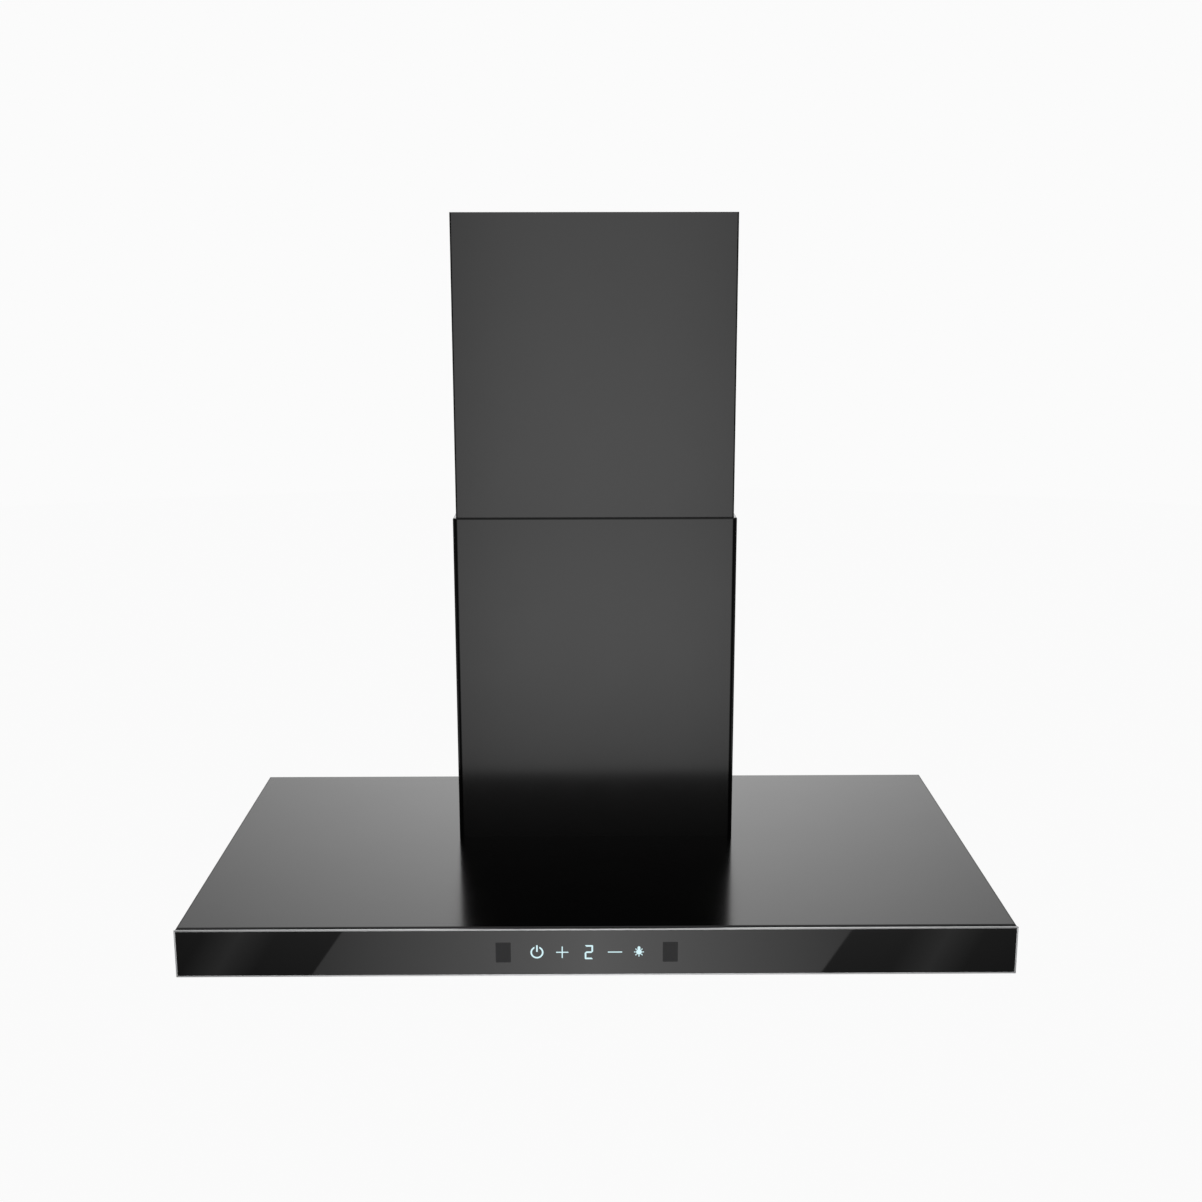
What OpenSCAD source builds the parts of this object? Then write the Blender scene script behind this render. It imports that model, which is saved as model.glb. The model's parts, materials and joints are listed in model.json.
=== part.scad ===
// Wall-mounted chimney range hood: a flat T-shaped canopy with a glass control front, two
// telescoping chimney covers, a centrifugal blower in its tower, baffle filters and LED lamps.
// Frame: the wall is the plane y = 0, the front faces -Y, +X is to the right as seen from the
// front, and z = 0 is the canopy's lower rim. All sizes are in millimetres.

/* [Canopy] */
// Width of the canopy
canopy_w = 900; // [880:10:920]
// Depth of the canopy, from the wall to the front of the trim
canopy_d = 500; // [490:5:520]
// Height of the canopy
canopy_h = 53.5; // [52:0.5:60]
// Thickness of the sheet steel
sheet = 1; // [0.8:0.1:1.2]
// Width of the flange turned inwards round the canopy's lower rim
rim_w = 14; // [10:1:16]

/* [Glass front] */
// Width of the aluminium edging's face
trim_w = 1.6; // [1.2:0.1:2.4]
// Depth of the aluminium edging, front to back
trim_d = 2; // [1.5:0.1:3]
// Thickness of the glass
glass_t = 4; // [3:0.5:5]
// Sideways place of the middle of the control group
control_x = -11; // [-20:1:20]

/* [Chimney] */
// Width of the lower cover
lower_w = 337; // [332:1:340]
// Depth of the lower cover, from the wall
lower_d = 230; // [228:1:236]
// Height of the lower cover
lower_h = 398; // [380:2:420]
// Width of the upper cover
upper_w = 329.6; // [326:0.2:331]
// Depth of the upper cover, from the wall
upper_d = 225; // [223:1:226]
// Length of the upper cover
upper_len = 400; // [390:5:410]
// Length of the upper cover that shows above the lower one
upper_shown = 351; // [340:1:360]

/* [Blower] */
// Width of the blower tower
tower_w = 240; // [236:2:244]
// Depth of the blower tower, from the wall
tower_d = 212; // [210:1:214]
// Height of the blower tower
tower_h = 250; // [246:1:256]
// Outer radius of the duct collar
duct_r = 75; // [73:0.5:76]
// Height of the duct collar
duct_h = 50; // [45:1:60]
// Outer radius of the impeller
impeller_r = 73; // [70:0.5:74]
// Number of blades on the impeller
blade_count = 36; // [24:1:44]

/* [Filters] */
// Width of each filter
filter_w = 397; // [390:1:398]
// Thickness of each filter
filter_t = 10; // [9:0.5:12]
// Number of lower baffles in each filter
baffle_count = 8; // [6:1:10]

/* [Lamps] */
// Distance of each lamp from the middle of the canopy
lamp_x = 300; // [260:5:340]
// Radius of a lamp's bezel
lamp_r = 33; // [30:1:36]

/* [Wall fixings] */
// Distance between the two hanging holes
hang_spacing = 190; // [180:2:200]
// Radius of a hanging hole
hang_r = 4; // [3:0.25:5]
// Distance between the two holes of the upper bracket
bracket_spacing = 200; // [180:5:220]

/* [Hidden] */
$fn = 64;
// overlap that joins two solids, or carries a cut past a face
eps = 0.01;

// Canopy
shell_front = -(canopy_d - 5);
top_bend = 3;
plate_z = [sheet, 2 * sheet];
air_x = 114;
air_y = [-205, -12];
grommet_at = [150, -40];
grommet_hole_r = 8;
frame_screws_at = [for (x = [-430, -150, 150, 430], y = [shell_front + 8, -7]) [x, y]];

// Glass front
front_y = -canopy_d;
glass_y = front_y + 0.2;
glass_back = glass_y + glass_t;
mid_z = canopy_h / 2;
inlay_t = 0.3;
power_x = control_x - 53;
plus_x = control_x - 26;
digit_x = control_x + 2.5;
minus_x = control_x + 30.4;
lamp_icon_x = control_x + 56;
window_x = [control_x - 89, control_x + 89.5];
window_size = [16.2, 22.9];
guide_half = 104;
guide_z = [11, 43];
housing_y = [shell_front + sheet, shell_front + 18];

// Chimney
lower_top = canopy_h + lower_h;
lower_bend = 6;
upper_bend = 2;
rim_gap = 0.4;
upper_top = lower_top + upper_shown;
upper_bottom = upper_top - upper_len;
upper_back = -1.4;
return_w = 12;
foot_z = 25;
foot_screw_z = canopy_h + 14;
foot_y = -115;
bracket_z = [upper_top - 34, upper_top - 8];
bracket_screw_z = upper_top - 21;
bracket_screw_y = -16;
bracket_plate_x = 150.5;

// Blower
tower_top = canopy_h + tower_h;
collar_y = -112;
axis_y = -100;
axis_z = canopy_h + 102.5;
scroll_half = 61;
scroll_t = 0.8;
scroll_r0 = 80;
scroll_r1 = 106;
tongue_a = 75;
sweep_a = 255;
inlet_r = 62;
throat_r = 59;
shaft_r = 4;
blade_r = impeller_r - 11;
motor_r = 43;
motor_x = [-64, -14];
bearing_r = 11;
bearing_w = 7;
pin_r = 1.5;
pin_z = tower_top + 12;
collar_t = 1.2;
flap_r = duct_r - collar_t - 1.2;
hang_z = tower_top - 22;
lock_z = canopy_h + 20;
lead_z = axis_z + 80;
tower_screws_at = [for (x = [-1, 1], y = [-185, -60]) [x * (tower_w / 2 + 7), y]];
collar_screws_at = [for (a = [45 : 90 : 315]) [82 * cos(a), collar_y + 82 * sin(a)]];
spring_gaps = [-32, 32];
flap_knuckles = [-52, 14];

// Electronics
box_x = [tower_w / 2, tower_w / 2 + 37];
box_y = [-190, -26];
box_z = [canopy_h + 36.5, canopy_h + 216.5];
board_x = box_x[0] + 9;
board_posts = [for (y = [box_y[0] + 14, box_y[1] - 22], z = [box_z[0] + 20, box_z[1] - 46]) [y, z]];
lid_posts = [[box_y[0] + 8, box_z[0] + 8], [box_y[1] - 8, box_z[1] - 8]];
cap_r = 15;
cap_x = -(tower_w / 2 + cap_r + 1);
cable_r = 1.6;

// Filters: bays are the two openings in the underframe
bay_x = [6, 406];
bay_y = [-400, -45];
filter_x = (bay_x[0] + bay_x[1]) / 2;
filter_y = [bay_y[0] + 1.5, bay_y[1] - 2];
filter_z = [sheet, sheet + filter_t];
side_bar = 12;
front_bar = 44;
baffle_t = 0.8;
clip_x = 130;

// Lamps
lamp_y = -447;
lamp_hole_r = lamp_r - 5.5;

// Box between two values on each axis
module span(x, y, z) {
    translate([x[0], y[0], z[0]]) cube([x[1] - x[0], y[1] - y[0], z[1] - z[0]]);
}

// Copies its child on the left as well as on the right
module both() {
    children();
    mirror([1, 0, 0]) children();
}

// Cylinder along X between two values
module rod_x(r, x) {
    translate([x[0], 0, 0]) rotate([0, 90, 0]) cylinder(r = r, h = x[1] - x[0]);
}

// Cylinder along Y between two values
module rod_y(r, y) {
    translate([0, y[1], 0]) rotate([90, 0, 0]) cylinder(r = r, h = y[1] - y[0]);
}

// Cylinder along Z between two values
module rod_z(r, z) {
    translate([0, 0, z[0]]) cylinder(r = r, h = z[1] - z[0]);
}

// Centred rectangle with round corners
module round_rect(w, h, r) {
    square([w - 2 * r, h], center = true);
    square([w, h - 2 * r], center = true);
    for (x = [-1, 1], y = [-1, 1])
        translate([x * (w / 2 - r), y * (h / 2 - r)]) circle(r);
}

// Upright rectangle on the origin with both top corners round
module round_top(x, h, r) {
    translate([x[0], 0]) square([x[1] - x[0], h - r]);
    translate([x[0] + r, 0]) square([x[1] - x[0] - 2 * r, h]);
    for (cx = [x[0] + r, x[1] - r]) translate([cx, h - r]) circle(r);
}

// Pan-head screw with a cross recess; the head stands on z = 0 and the shank points down
module screw(shank_r, length, head_r, head_h) {
    difference() {
        union() {
            rod_z(head_r, [0, head_h]);
            rod_z(shank_r, [-length, eps]);
        }
        for (a = [0, 90]) rotate(a)
            span([-head_r * 0.6, head_r * 0.6], [-0.5, 0.5], [head_h * 0.4, head_h + 1]);
    }
}

// Flat drawing in X and Z, raised to a thin plate whose front lies on the glass's face
module on_glass(x, t) {
    translate([x, glass_y + t, mid_z]) rotate([90, 0, 0]) linear_extrude(t) children();
}

// Unit vector
function unit(v) = v / norm(v);

// A route's points with each corner replaced by a short arc-like run
function rounded_route(p, r) = concat(
    [p[0]],
    [for (i = [1 : len(p) - 2], t = [0 : 0.25 : 1])
        let (a = p[i] + unit(p[i - 1] - p[i]) * r, b = p[i] + unit(p[i + 1] - p[i]) * r)
        a * (1 - t) * (1 - t) + p[i] * 2 * t * (1 - t) + b * t * t],
    [p[len(p) - 1]]
);

// Direction of a route at one of its points
function heading(p, i) = unit(p[min(i + 1, len(p) - 1)] - p[max(i - 1, 0)]);

// Tube of eight sides along a route
module tube(p, r, lean = [0.31, 0.47, 0.83]) {
    sides = 8;
    n = len(p);
    rings = [for (i = [0 : n - 1])
        let (d = heading(p, i), u = unit(cross(lean, d)), v = cross(d, u))
        for (k = [0 : sides - 1]) p[i] + r * (u * cos(k * 360 / sides) + v * sin(k * 360 / sides))];
    walls = [for (i = [0 : n - 2], k = [0 : sides - 1])
        let (a = i * sides + k, b = i * sides + (k + 1) % sides)
        each [[a, a + sides, b], [b, a + sides, b + sides]]];
    caps = [
        [for (k = [0 : sides - 1]) k],
        [for (k = [sides - 1 : -1 : 0]) (n - 1) * sides + k]
    ];
    polyhedron(points = rings, faces = concat(walls, caps), convexity = 6);
}

// ---------------------------------------------------------------- canopy

// Solid canopy form, drawn in by inset and open downwards when it is the inner one
module canopy_form(inset) {
    x = [-canopy_w / 2 + inset, canopy_w / 2 - inset];
    y = [shell_front + inset, -inset];
    h = canopy_h - inset;
    r = top_bend - inset;
    intersection() {
        rotate([90, 0, 0])
            translate([0, 0, -1]) linear_extrude(canopy_d + 1) round_top(x, h, r);
        translate([-canopy_w / 2 - 1, 0, 0]) rotate([90, 0, 90])
            linear_extrude(canopy_w + 2) round_top(y, h, r);
        span([x[0], x[1]], [y[0], y[1]], [inset > 0 ? sheet : 0, canopy_h]);
    }
}

module canopy_shell() color([0.07, 0.07, 0.075]) difference() {
    canopy_form(0);
    canopy_form(sheet);
    // opening inside the lower rim
    span([-canopy_w / 2 + rim_w, canopy_w / 2 - rim_w], [shell_front + rim_w, -rim_w], [-1, 2]);
    // air passage up into the tower
    span([-air_x, air_x], air_y, [canopy_h - 5, canopy_h + 1]);
    translate([grommet_at[0], grommet_at[1], 0]) rod_z(grommet_hole_r, [canopy_h - 5, canopy_h + 1]);
    for (p = tower_screws_at) translate([p[0], p[1], 0]) rod_z(2.6, [canopy_h - 5, canopy_h + 1]);
    for (x = [-1, 1]) translate([x * (lower_w / 2 - 10), foot_y, 0])
        rod_z(2.1, [canopy_h - 5, canopy_h + 1]);
    // window behind the touch controls
    span([control_x - guide_half - 4, control_x + guide_half + 4],
        [shell_front - 1, shell_front + 2], [guide_z[0] - 1.5, guide_z[1] + 1.5]);
    for (p = frame_screws_at) translate([p[0], p[1], -eps])
        cylinder(r1 = 2.65, r2 = 1.45, h = sheet + 2 * eps);
    for (x = [-1, 1]) translate([control_x + x * (guide_half + 8), 0, mid_z])
        rod_y(1.4, [shell_front - 1, shell_front + 2]);
}

module canopy_underframe() color([0.1, 0.1, 0.105]) difference() {
    union() {
        span([-canopy_w / 2 + 1.5, canopy_w / 2 - 1.5], [shell_front + 1.5, -1.5], plate_z);
        // stiffening flanges beside the filter bays
        both() for (x = [bay_x[0] - 1, bay_x[1]]) span([x, x + 1], bay_y, [sheet, 9]);
        // front and rear cross stiffeners
        for (y = [bay_y[0] - 16, bay_y[1] + 14])
            span([-canopy_w / 2 + 20, canopy_w / 2 - 20], [y, y + 1], [sheet, 9]);
    }
    both() span(bay_x, bay_y, [0, 20]);
    both() translate([lamp_x, lamp_y, 0]) rod_z(lamp_hole_r, [0, 20]);
    for (p = frame_screws_at) translate([p[0], p[1], 0]) rod_z(1.25, [0, 4]);
}

// ---------------------------------------------------------------- glass front

module front_trim() color([0.75, 0.76, 0.77]) difference() {
    span([-canopy_w / 2, canopy_w / 2], [front_y, front_y + trim_d], [0, canopy_h]);
    span([-canopy_w / 2 + trim_w, canopy_w / 2 - trim_w],
        [front_y - 1, front_y + trim_d + 1], [trim_w, canopy_h - trim_w]);
}

module front_glass() color([0.03, 0.03, 0.035]) difference() {
    span([-canopy_w / 2 + trim_w + 0.1, canopy_w / 2 - trim_w - 0.1],
        [glass_y, glass_back], [trim_w + 0.1, canopy_h - trim_w - 0.1]);
    // shallow seats for the printed symbols and the sensor windows
    translate([0, -1, 0]) {
        on_glass(power_x, inlay_t + 1) power_shape();
        on_glass(plus_x, inlay_t + 1) plus_shape();
        on_glass(digit_x, inlay_t + 1) digit_shape();
        on_glass(minus_x, inlay_t + 1) minus_shape();
        on_glass(lamp_icon_x, inlay_t + 1) lamp_shape();
        for (x = window_x) on_glass(x, inlay_t + 1) window_shape();
    }
}

module glass_tape() color([0.2, 0.2, 0.2])
    for (z = [4, canopy_h - 9])
        span([-canopy_w / 2 + 8, canopy_w / 2 - 8], [glass_back, shell_front], [z, z + 5]);

module power_shape() {
    ring_r = 6.95;
    stroke = 1.7;
    difference() {
        circle(ring_r);
        circle(ring_r - stroke);
        translate([-2.6, 0]) square([5.2, ring_r + 1]);
    }
    translate([-stroke / 2, 0.6]) square([stroke, ring_r + 0.6]);
}

module plus_shape() {
    square([13.2, 1.2], center = true);
    square([1.2, 13.2], center = true);
}

module minus_shape() round_rect(15.4, 1.2, 0.4);

// The figure two on a seven-segment display: top, upper right, middle, lower left, bottom
module digit_shape() {
    w = 9 / 2;
    h = 16.2 / 2;
    t = 1.8;
    intersection() {
        round_rect(2 * w, 2 * h, 1.1);
        for (a = [0, 180]) rotate(a) {
            polygon([[-w, h], [w, h], [w - t, h - t], [-w + t, h - t]]);
            polygon([[w, h], [w - t, h - t], [w - t, t / 2], [w - t / 2, 0], [w, t / 2]]);
        }
    }
    polygon([[-w + t / 2, 0], [-w + t, t / 2], [w - t, t / 2], [w - t / 2, 0],
        [w - t, -t / 2], [-w + t, -t / 2]]);
}

// A hanging bulb with seven short rays
module lamp_shape() {
    bulb_r = 3;
    neck_r = 1.5;
    circle(bulb_r);
    translate([-neck_r, 0]) square([2 * neck_r, 5]);
    translate([0, 5]) circle(neck_r);
    for (a = [-90, -45, 0, 45, 135, 180, 225]) rotate(a)
        translate([bulb_r + 0.5, -0.5]) square([1.8, 1]);
}

module window_shape() round_rect(window_size[0], window_size[1], 0.8);

module icon_power() color([0.75, 0.95, 1]) on_glass(power_x, inlay_t) power_shape();

module icon_plus() color([0.75, 0.95, 1]) on_glass(plus_x, inlay_t) plus_shape();

module icon_minus() color([0.75, 0.95, 1]) on_glass(minus_x, inlay_t) minus_shape();

module icon_lamp() color([0.75, 0.95, 1]) on_glass(lamp_icon_x, inlay_t) lamp_shape();

module display_digit() color([0.75, 0.95, 1]) on_glass(digit_x, inlay_t) digit_shape();

module gesture_window(i) color([0.04, 0.04, 0.045]) on_glass(window_x[i], inlay_t) window_shape();

// White block with a light well behind each symbol
module light_guide() color([0.9, 0.9, 0.9]) difference() {
    span([control_x - guide_half, control_x + guide_half], [glass_back, glass_back + 5], guide_z);
    for (x = [power_x, plus_x, digit_x, minus_x, lamp_icon_x, window_x[0], window_x[1]])
        span([x - 8.5, x + 8.5], [glass_back + 1, glass_back + 6], [mid_z - 11, mid_z + 11]);
}

module touch_board() color([0.1, 0.3, 0.16]) {
    board_y = glass_back + 5;
    span([control_x - guide_half, control_x + guide_half], [board_y, board_y + 1.6], guide_z);
    // a light source or a sensor in each well
    for (x = [power_x, plus_x, digit_x, minus_x, lamp_icon_x])
        span([x - 2.5, x + 2.5], [board_y - 2, board_y], [mid_z - 2, mid_z + 2]);
    for (x = window_x) span([x - 4, x + 4], [board_y - 3, board_y], [mid_z - 5, mid_z + 5]);
    // driver chip and cable socket
    span([control_x - 50, control_x - 38], [board_y + 1.6, board_y + 3.6], [mid_z - 6, mid_z + 6]);
    span([control_x + 66, control_x + 78], [board_y + 1.6, board_y + 8], [mid_z - 3, mid_z + 3]);
}

module control_housing() color([0.12, 0.12, 0.12]) difference() {
    union() {
        span([control_x - guide_half - 2, control_x + guide_half + 2],
            [housing_y[0], housing_y[1]], [guide_z[0] - 1, guide_z[1] + 1]);
        for (x = [-1, 1]) translate([control_x, 0, 0])
            span([x * (guide_half + 8) - 7, x * (guide_half + 8) + 7],
                [housing_y[0], housing_y[0] + 2], [mid_z - 8, mid_z + 8]);
    }
    span([control_x - guide_half - 0.4, control_x + guide_half + 0.4],
        [housing_y[0] - 1, housing_y[1] - 1.6], [guide_z[0] - 0.4, guide_z[1] + 0.4]);
    // way out for the cable, and the screw holes in the ears
    translate([control_x + 72, 0, mid_z]) rod_y(5, [housing_y[1] - 3, housing_y[1] + 1]);
    for (x = [-1, 1]) translate([control_x + x * (guide_half + 8), 0, mid_z])
        rod_y(1.5, [housing_y[0] - 1, housing_y[0] + 3]);
}

// ---------------------------------------------------------------- lamps

module lamp_bezel() color([0.7, 0.71, 0.72]) rotate_extrude() polygon([
    [lamp_r - 8, 0.4], [lamp_r - 0.6, 0], [lamp_r, 0.4], [lamp_r, sheet],
    [lamp_hole_r - 0.4, sheet], [lamp_hole_r - 0.4, 12], [lamp_hole_r - 2, 12],
    [lamp_hole_r - 2, 3.4], [lamp_r - 8, 3.4]
]);

module lamp_lens() color([0.95, 0.95, 0.9]) rotate_extrude() polygon([
    [0, 0.9], [lamp_r - 8.2, 0.9], [lamp_r - 8.2, 3.4], [lamp_hole_r - 2.2, 3.4],
    [lamp_hole_r - 2.2, 5.4], [0, 5.4]
]);

module lamp_housing() color([0.6, 0.61, 0.62]) {
    rod_z(lamp_hole_r - 2.2, [5.4, 8]);
    rod_z(lamp_hole_r - 6, [8, 16]);
    for (i = [0 : 3]) rod_z(lamp_hole_r - 1, [12.2 + 4 * i, 14 + 4 * i]);
    rod_z(lamp_hole_r - 10, [16, 28]);
}

module at_lamp(side) translate([side * lamp_x, lamp_y, 0]) children();

// ---------------------------------------------------------------- chimney covers

// Plan of a cover that is open towards the wall, with a round bend at each front corner
module cover_plan(w, d, back, bend) {
    difference() {
        cover_outline(w, d, back, bend);
        translate([0, -sheet]) cover_outline(w - 2 * sheet, d - 2 * sheet, back, bend - sheet);
        translate([-w / 2 + return_w, -d / 2]) square([w - 2 * return_w, d / 2 + 1]);
    }
}

// Filled plan of a cover
module cover_outline(w, d, back, bend) {
    mirror([0, 1]) translate([0, -back]) round_top([-w / 2, w / 2], d + back, bend);
}

module lower_chimney() color([0.07, 0.07, 0.075]) difference() {
    union() {
        translate([0, 0, canopy_h]) linear_extrude(lower_h) cover_plan(lower_w, lower_d, 0, lower_bend);
        // narrow rim turned inwards at the top
        translate([0, 0, lower_top - sheet]) linear_extrude(sheet) difference() {
            cover_outline(lower_w, lower_d, 0, lower_bend);
            translate([-upper_w / 2 - rim_gap, -upper_d - rim_gap])
                square([upper_w + 2 * rim_gap, upper_d + 1]);
        }
    }
    translate([0, foot_y, foot_screw_z]) rod_x(2.1, [-lower_w, lower_w]);
}

module chimney_feet() color([0.6, 0.6, 0.62]) both() difference() {
    union() {
        inner = lower_w / 2 - sheet;
        span([inner - 1.5, inner], [foot_y - 15, foot_y + 15], [canopy_h, canopy_h + foot_z]);
        span([inner - 20, inner], [foot_y - 15, foot_y + 15], [canopy_h, canopy_h + 1.5]);
    }
    translate([0, foot_y, foot_screw_z]) rod_x(2.1, [lower_w / 2 - 4, lower_w / 2]);
    translate([lower_w / 2 - 10, foot_y, 0]) rod_z(2.1, [canopy_h - 1, canopy_h + 3]);
}

module upper_chimney() color([0.07, 0.07, 0.075]) difference() {
    translate([0, 0, upper_bottom]) linear_extrude(upper_len)
        cover_plan(upper_w, upper_d, upper_back, upper_bend);
    translate([0, bracket_screw_y, bracket_screw_z]) rod_x(2.1, [-lower_w, lower_w]);
}

module chimney_bracket() color([0.6, 0.6, 0.62]) difference() {
    ear_x = upper_w / 2 - sheet;
    union() {
        span([-bracket_plate_x, bracket_plate_x], [-1.5, 0], bracket_z);
        both() {
            span([bracket_plate_x - 1.5, bracket_plate_x], [-4.4, 0], bracket_z);
            span([bracket_plate_x - 1.5, ear_x], [-4.4, -2.9], bracket_z);
            span([ear_x - 1.5, ear_x], [-28, -2.9], bracket_z);
        }
    }
    both() translate([bracket_spacing / 2, 0, bracket_screw_z]) rod_y(3, [-3, 1]);
    both() translate([0, bracket_screw_y, bracket_screw_z]) rod_x(2.1, [ear_x - 3, ear_x + 3]);
}

module upper_chimney_screws() color([0.3, 0.3, 0.3]) both()
    translate([upper_w / 2, bracket_screw_y, bracket_screw_z]) rotate([0, 90, 0]) screw(2, 8, 3.6, 2);

// ---------------------------------------------------------------- blower tower

module motor_tower() color([0.62, 0.63, 0.64]) difference() {
    x = tower_w / 2;
    union() {
        span([-x, x], [-tower_d, 0], [canopy_h, tower_top]);
        // screw flanges at the foot
        span([-x - 14, x + 14], [-tower_d, -20], [canopy_h, canopy_h + sheet]);
    }
    span([-x + sheet, x - sheet], [-tower_d + sheet, -sheet], [canopy_h - 1, tower_top - sheet]);
    translate([0, collar_y, 0]) rod_z(duct_r - collar_t, [tower_top - 3, tower_top + 1]);
    both() translate([hang_spacing / 2, 0, hang_z]) rod_y(hang_r, [-3, 1]);
    both() translate([hang_spacing / 2, 0, lock_z]) rod_y(3, [-3, 1]);
    for (p = tower_screws_at) translate([p[0], p[1], 0]) rod_z(2.6, [canopy_h - 1, canopy_h + 3]);
    for (p = collar_screws_at) translate([p[0], p[1], 0]) rod_z(1.9, [tower_top - 3, tower_top + 1]);
    // way through for the motor lead
    translate([0, -34, lead_z]) rod_x(4, [x - 3, x + 1]);
}

// Radius of the scroll at an angle swept from the tongue
function scroll_radius(a) = scroll_r0 + (scroll_r1 - scroll_r0) * a / sweep_a;

// Side view of the scroll and its outlet, drawn in by inset; x is along Y and y is along Z
module scroll_shape(inset, top) {
    spiral = [for (i = [0 : 34])
        let (a = sweep_a * i / 34, r = scroll_radius(a) - inset)
        [axis_y + r * cos(tongue_a - a), axis_z + r * sin(tongue_a - a)]];
    polygon(concat(spiral, [
        [collar_y - duct_r + inset, top],
        [collar_y + duct_r - inset, top]
    ]));
}

module scroll_plate(x) {
    translate([x, 0, 0]) rotate([90, 0, 90]) linear_extrude(scroll_t) difference() {
        scroll_shape(0, tower_top - sheet);
        translate([axis_y, axis_z]) circle(inlet_r);
    }
}

module scroll_wrap() color([0.62, 0.63, 0.64]) {
    translate([-scroll_half, 0, 0]) rotate([90, 0, 90]) linear_extrude(2 * scroll_half) difference() {
        scroll_shape(0, tower_top - sheet);
        scroll_shape(scroll_t, tower_top + 1);
    }
}

module scroll_side_left() color([0.62, 0.63, 0.64]) scroll_plate(-scroll_half - scroll_t);

module scroll_side_right() color([0.62, 0.63, 0.64]) scroll_plate(scroll_half);

// Bell-mouth rings in both inlets
module inlet_rings() color([0.15, 0.15, 0.15]) both()
    translate([scroll_half + scroll_t, axis_y, axis_z]) rotate([0, 90, 0]) rotate_extrude() polygon([
        [throat_r - 1, -7], [throat_r, -7], [throat_r + 1, -2], [inlet_r - 0.3, -0.6],
        [inlet_r - 0.3, 0], [inlet_r + 5, 0], [inlet_r + 5, 1.2], [inlet_r - 0.6, 1.2], [throat_r, -1.4]
    ]);

module at_axis() translate([0, axis_y, axis_z]) children();

module motor_bracket() color([0.55, 0.56, 0.57]) at_axis() difference() {
    union() {
        rod_x(30, [-66, -64]);
        for (a = [90, 210, 330]) rotate([a, 0, 0]) {
            span([-66, -64], [-7, 7], [20, 79]);
            translate([0, 0, 74]) rod_x(5, [-66, -scroll_half - scroll_t]);
        }
    }
    rod_x(12, [-67, -63]);
    translate([0, 20, 10]) rod_x(3, [-67, -63]);
}

module motor_housing() color([0.7, 0.71, 0.72]) at_axis() difference() {
    union() {
        rod_x(motor_r, motor_x);
        // cooling ribs
        for (a = [0 : 30 : 330]) rotate([a, 0, 0])
            span([motor_x[0] + 8, motor_x[1] - 8], [-1, 1], [motor_r - 1, motor_r + 3]);
    }
    rod_x(motor_r - 2.5, [motor_x[0] + 3, motor_x[1] - 3]);
    rod_x(bearing_r, [motor_x[0] - 1, motor_x[1] + 1]);
}

module motor_bearings() color([0.8, 0.8, 0.82]) at_axis()
    for (x = [motor_x[0], motor_x[1] - bearing_w]) difference() {
        rod_x(bearing_r, [x, x + bearing_w]);
        rod_x(shaft_r + 0.05, [x - 1, x + bearing_w + 1]);
    }

module motor_stator() color([0.45, 0.3, 0.2]) at_axis() difference() {
    union() {
        rod_x(motor_r - 2.5, [-50, -28]);
        rod_x(motor_r - 6, [-55, -23]);
    }
    rod_x(27, [-56, -22]);
}

module motor_shaft() color([0.75, 0.76, 0.78]) at_axis() {
    rod_x(shaft_r, [-68, 24]);
    // rotor
    rod_x(26.4, [-50, -28]);
}

// Hexagonal nut that holds the impeller on its shaft
module impeller_nut() color([0.75, 0.76, 0.78]) at_axis() difference() {
    translate([14, 0, 0]) rotate([0, 90, 0]) cylinder(r = 8, h = 6, $fn = 6);
    rod_x(shaft_r, [13, 21]);
}

// Double-width impeller: centre disc and hub, forward-curved blades, a ring at each end
module impeller() color([0.2, 0.2, 0.21]) at_axis() difference() {
    half = scroll_half - 4;
    union() {
        rod_x(impeller_r, [-1, 1]);
        rod_x(12, [-10, 14]);
        both() difference() {
            rod_x(impeller_r, [half - 2, half]);
            rod_x(blade_r, [half - 3, half + 1]);
        }
        translate([-half + 1, 0, 0]) rotate([90, 0, 90]) linear_extrude(2 * half - 2)
            for (i = [0 : blade_count - 1]) rotate(i * 360 / blade_count) blade_section();
    }
    rod_x(shaft_r, [-12, 15]);
}

// One forward-curved blade in plan
module blade_section() {
    inner = blade_r + 0.3;
    step = (impeller_r - 0.3 - inner) / 4;
    lean = 7;
    polygon(concat(
        [for (i = [0 : 4]) let (r = inner + step * i, a = lean * pow(i / 4, 2)) [r * cos(a), r * sin(a)]],
        [for (i = [4 : -1 : 0])
            let (r = inner + step * i, a = lean * pow(i / 4, 2) + 0.9) [r * cos(a), r * sin(a)]]
    ));
}

// ---------------------------------------------------------------- duct collar and damper

module duct_collar() color([0.25, 0.25, 0.26]) translate([0, collar_y, 0]) {
    difference() {
        union() {
            rod_z(duct_r, [tower_top, tower_top + duct_h]);
            rod_z(duct_r + 13, [tower_top, tower_top + 1.5]);
        }
        rod_z(duct_r - collar_t, [tower_top - 1, tower_top + duct_h + 1]);
        translate([0, 0, pin_z]) rod_y(pin_r, [-duct_r - 1, duct_r + 1]);
        for (p = collar_screws_at) translate([p[0], p[1] - collar_y, 0])
            rod_z(1.9, [tower_top - 1, tower_top + 3]);
    }
    // stops that the closed flaps lie on
    both() span([duct_r - 8, duct_r - collar_t + 0.2], [-6, 6], [pin_z - 4, pin_z - 0.7]);
}

module damper_pin() color([0.75, 0.76, 0.78]) translate([0, collar_y, pin_z])
    rod_y(pin_r, [-duct_r + 0.1, duct_r - 0.1]);

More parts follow.
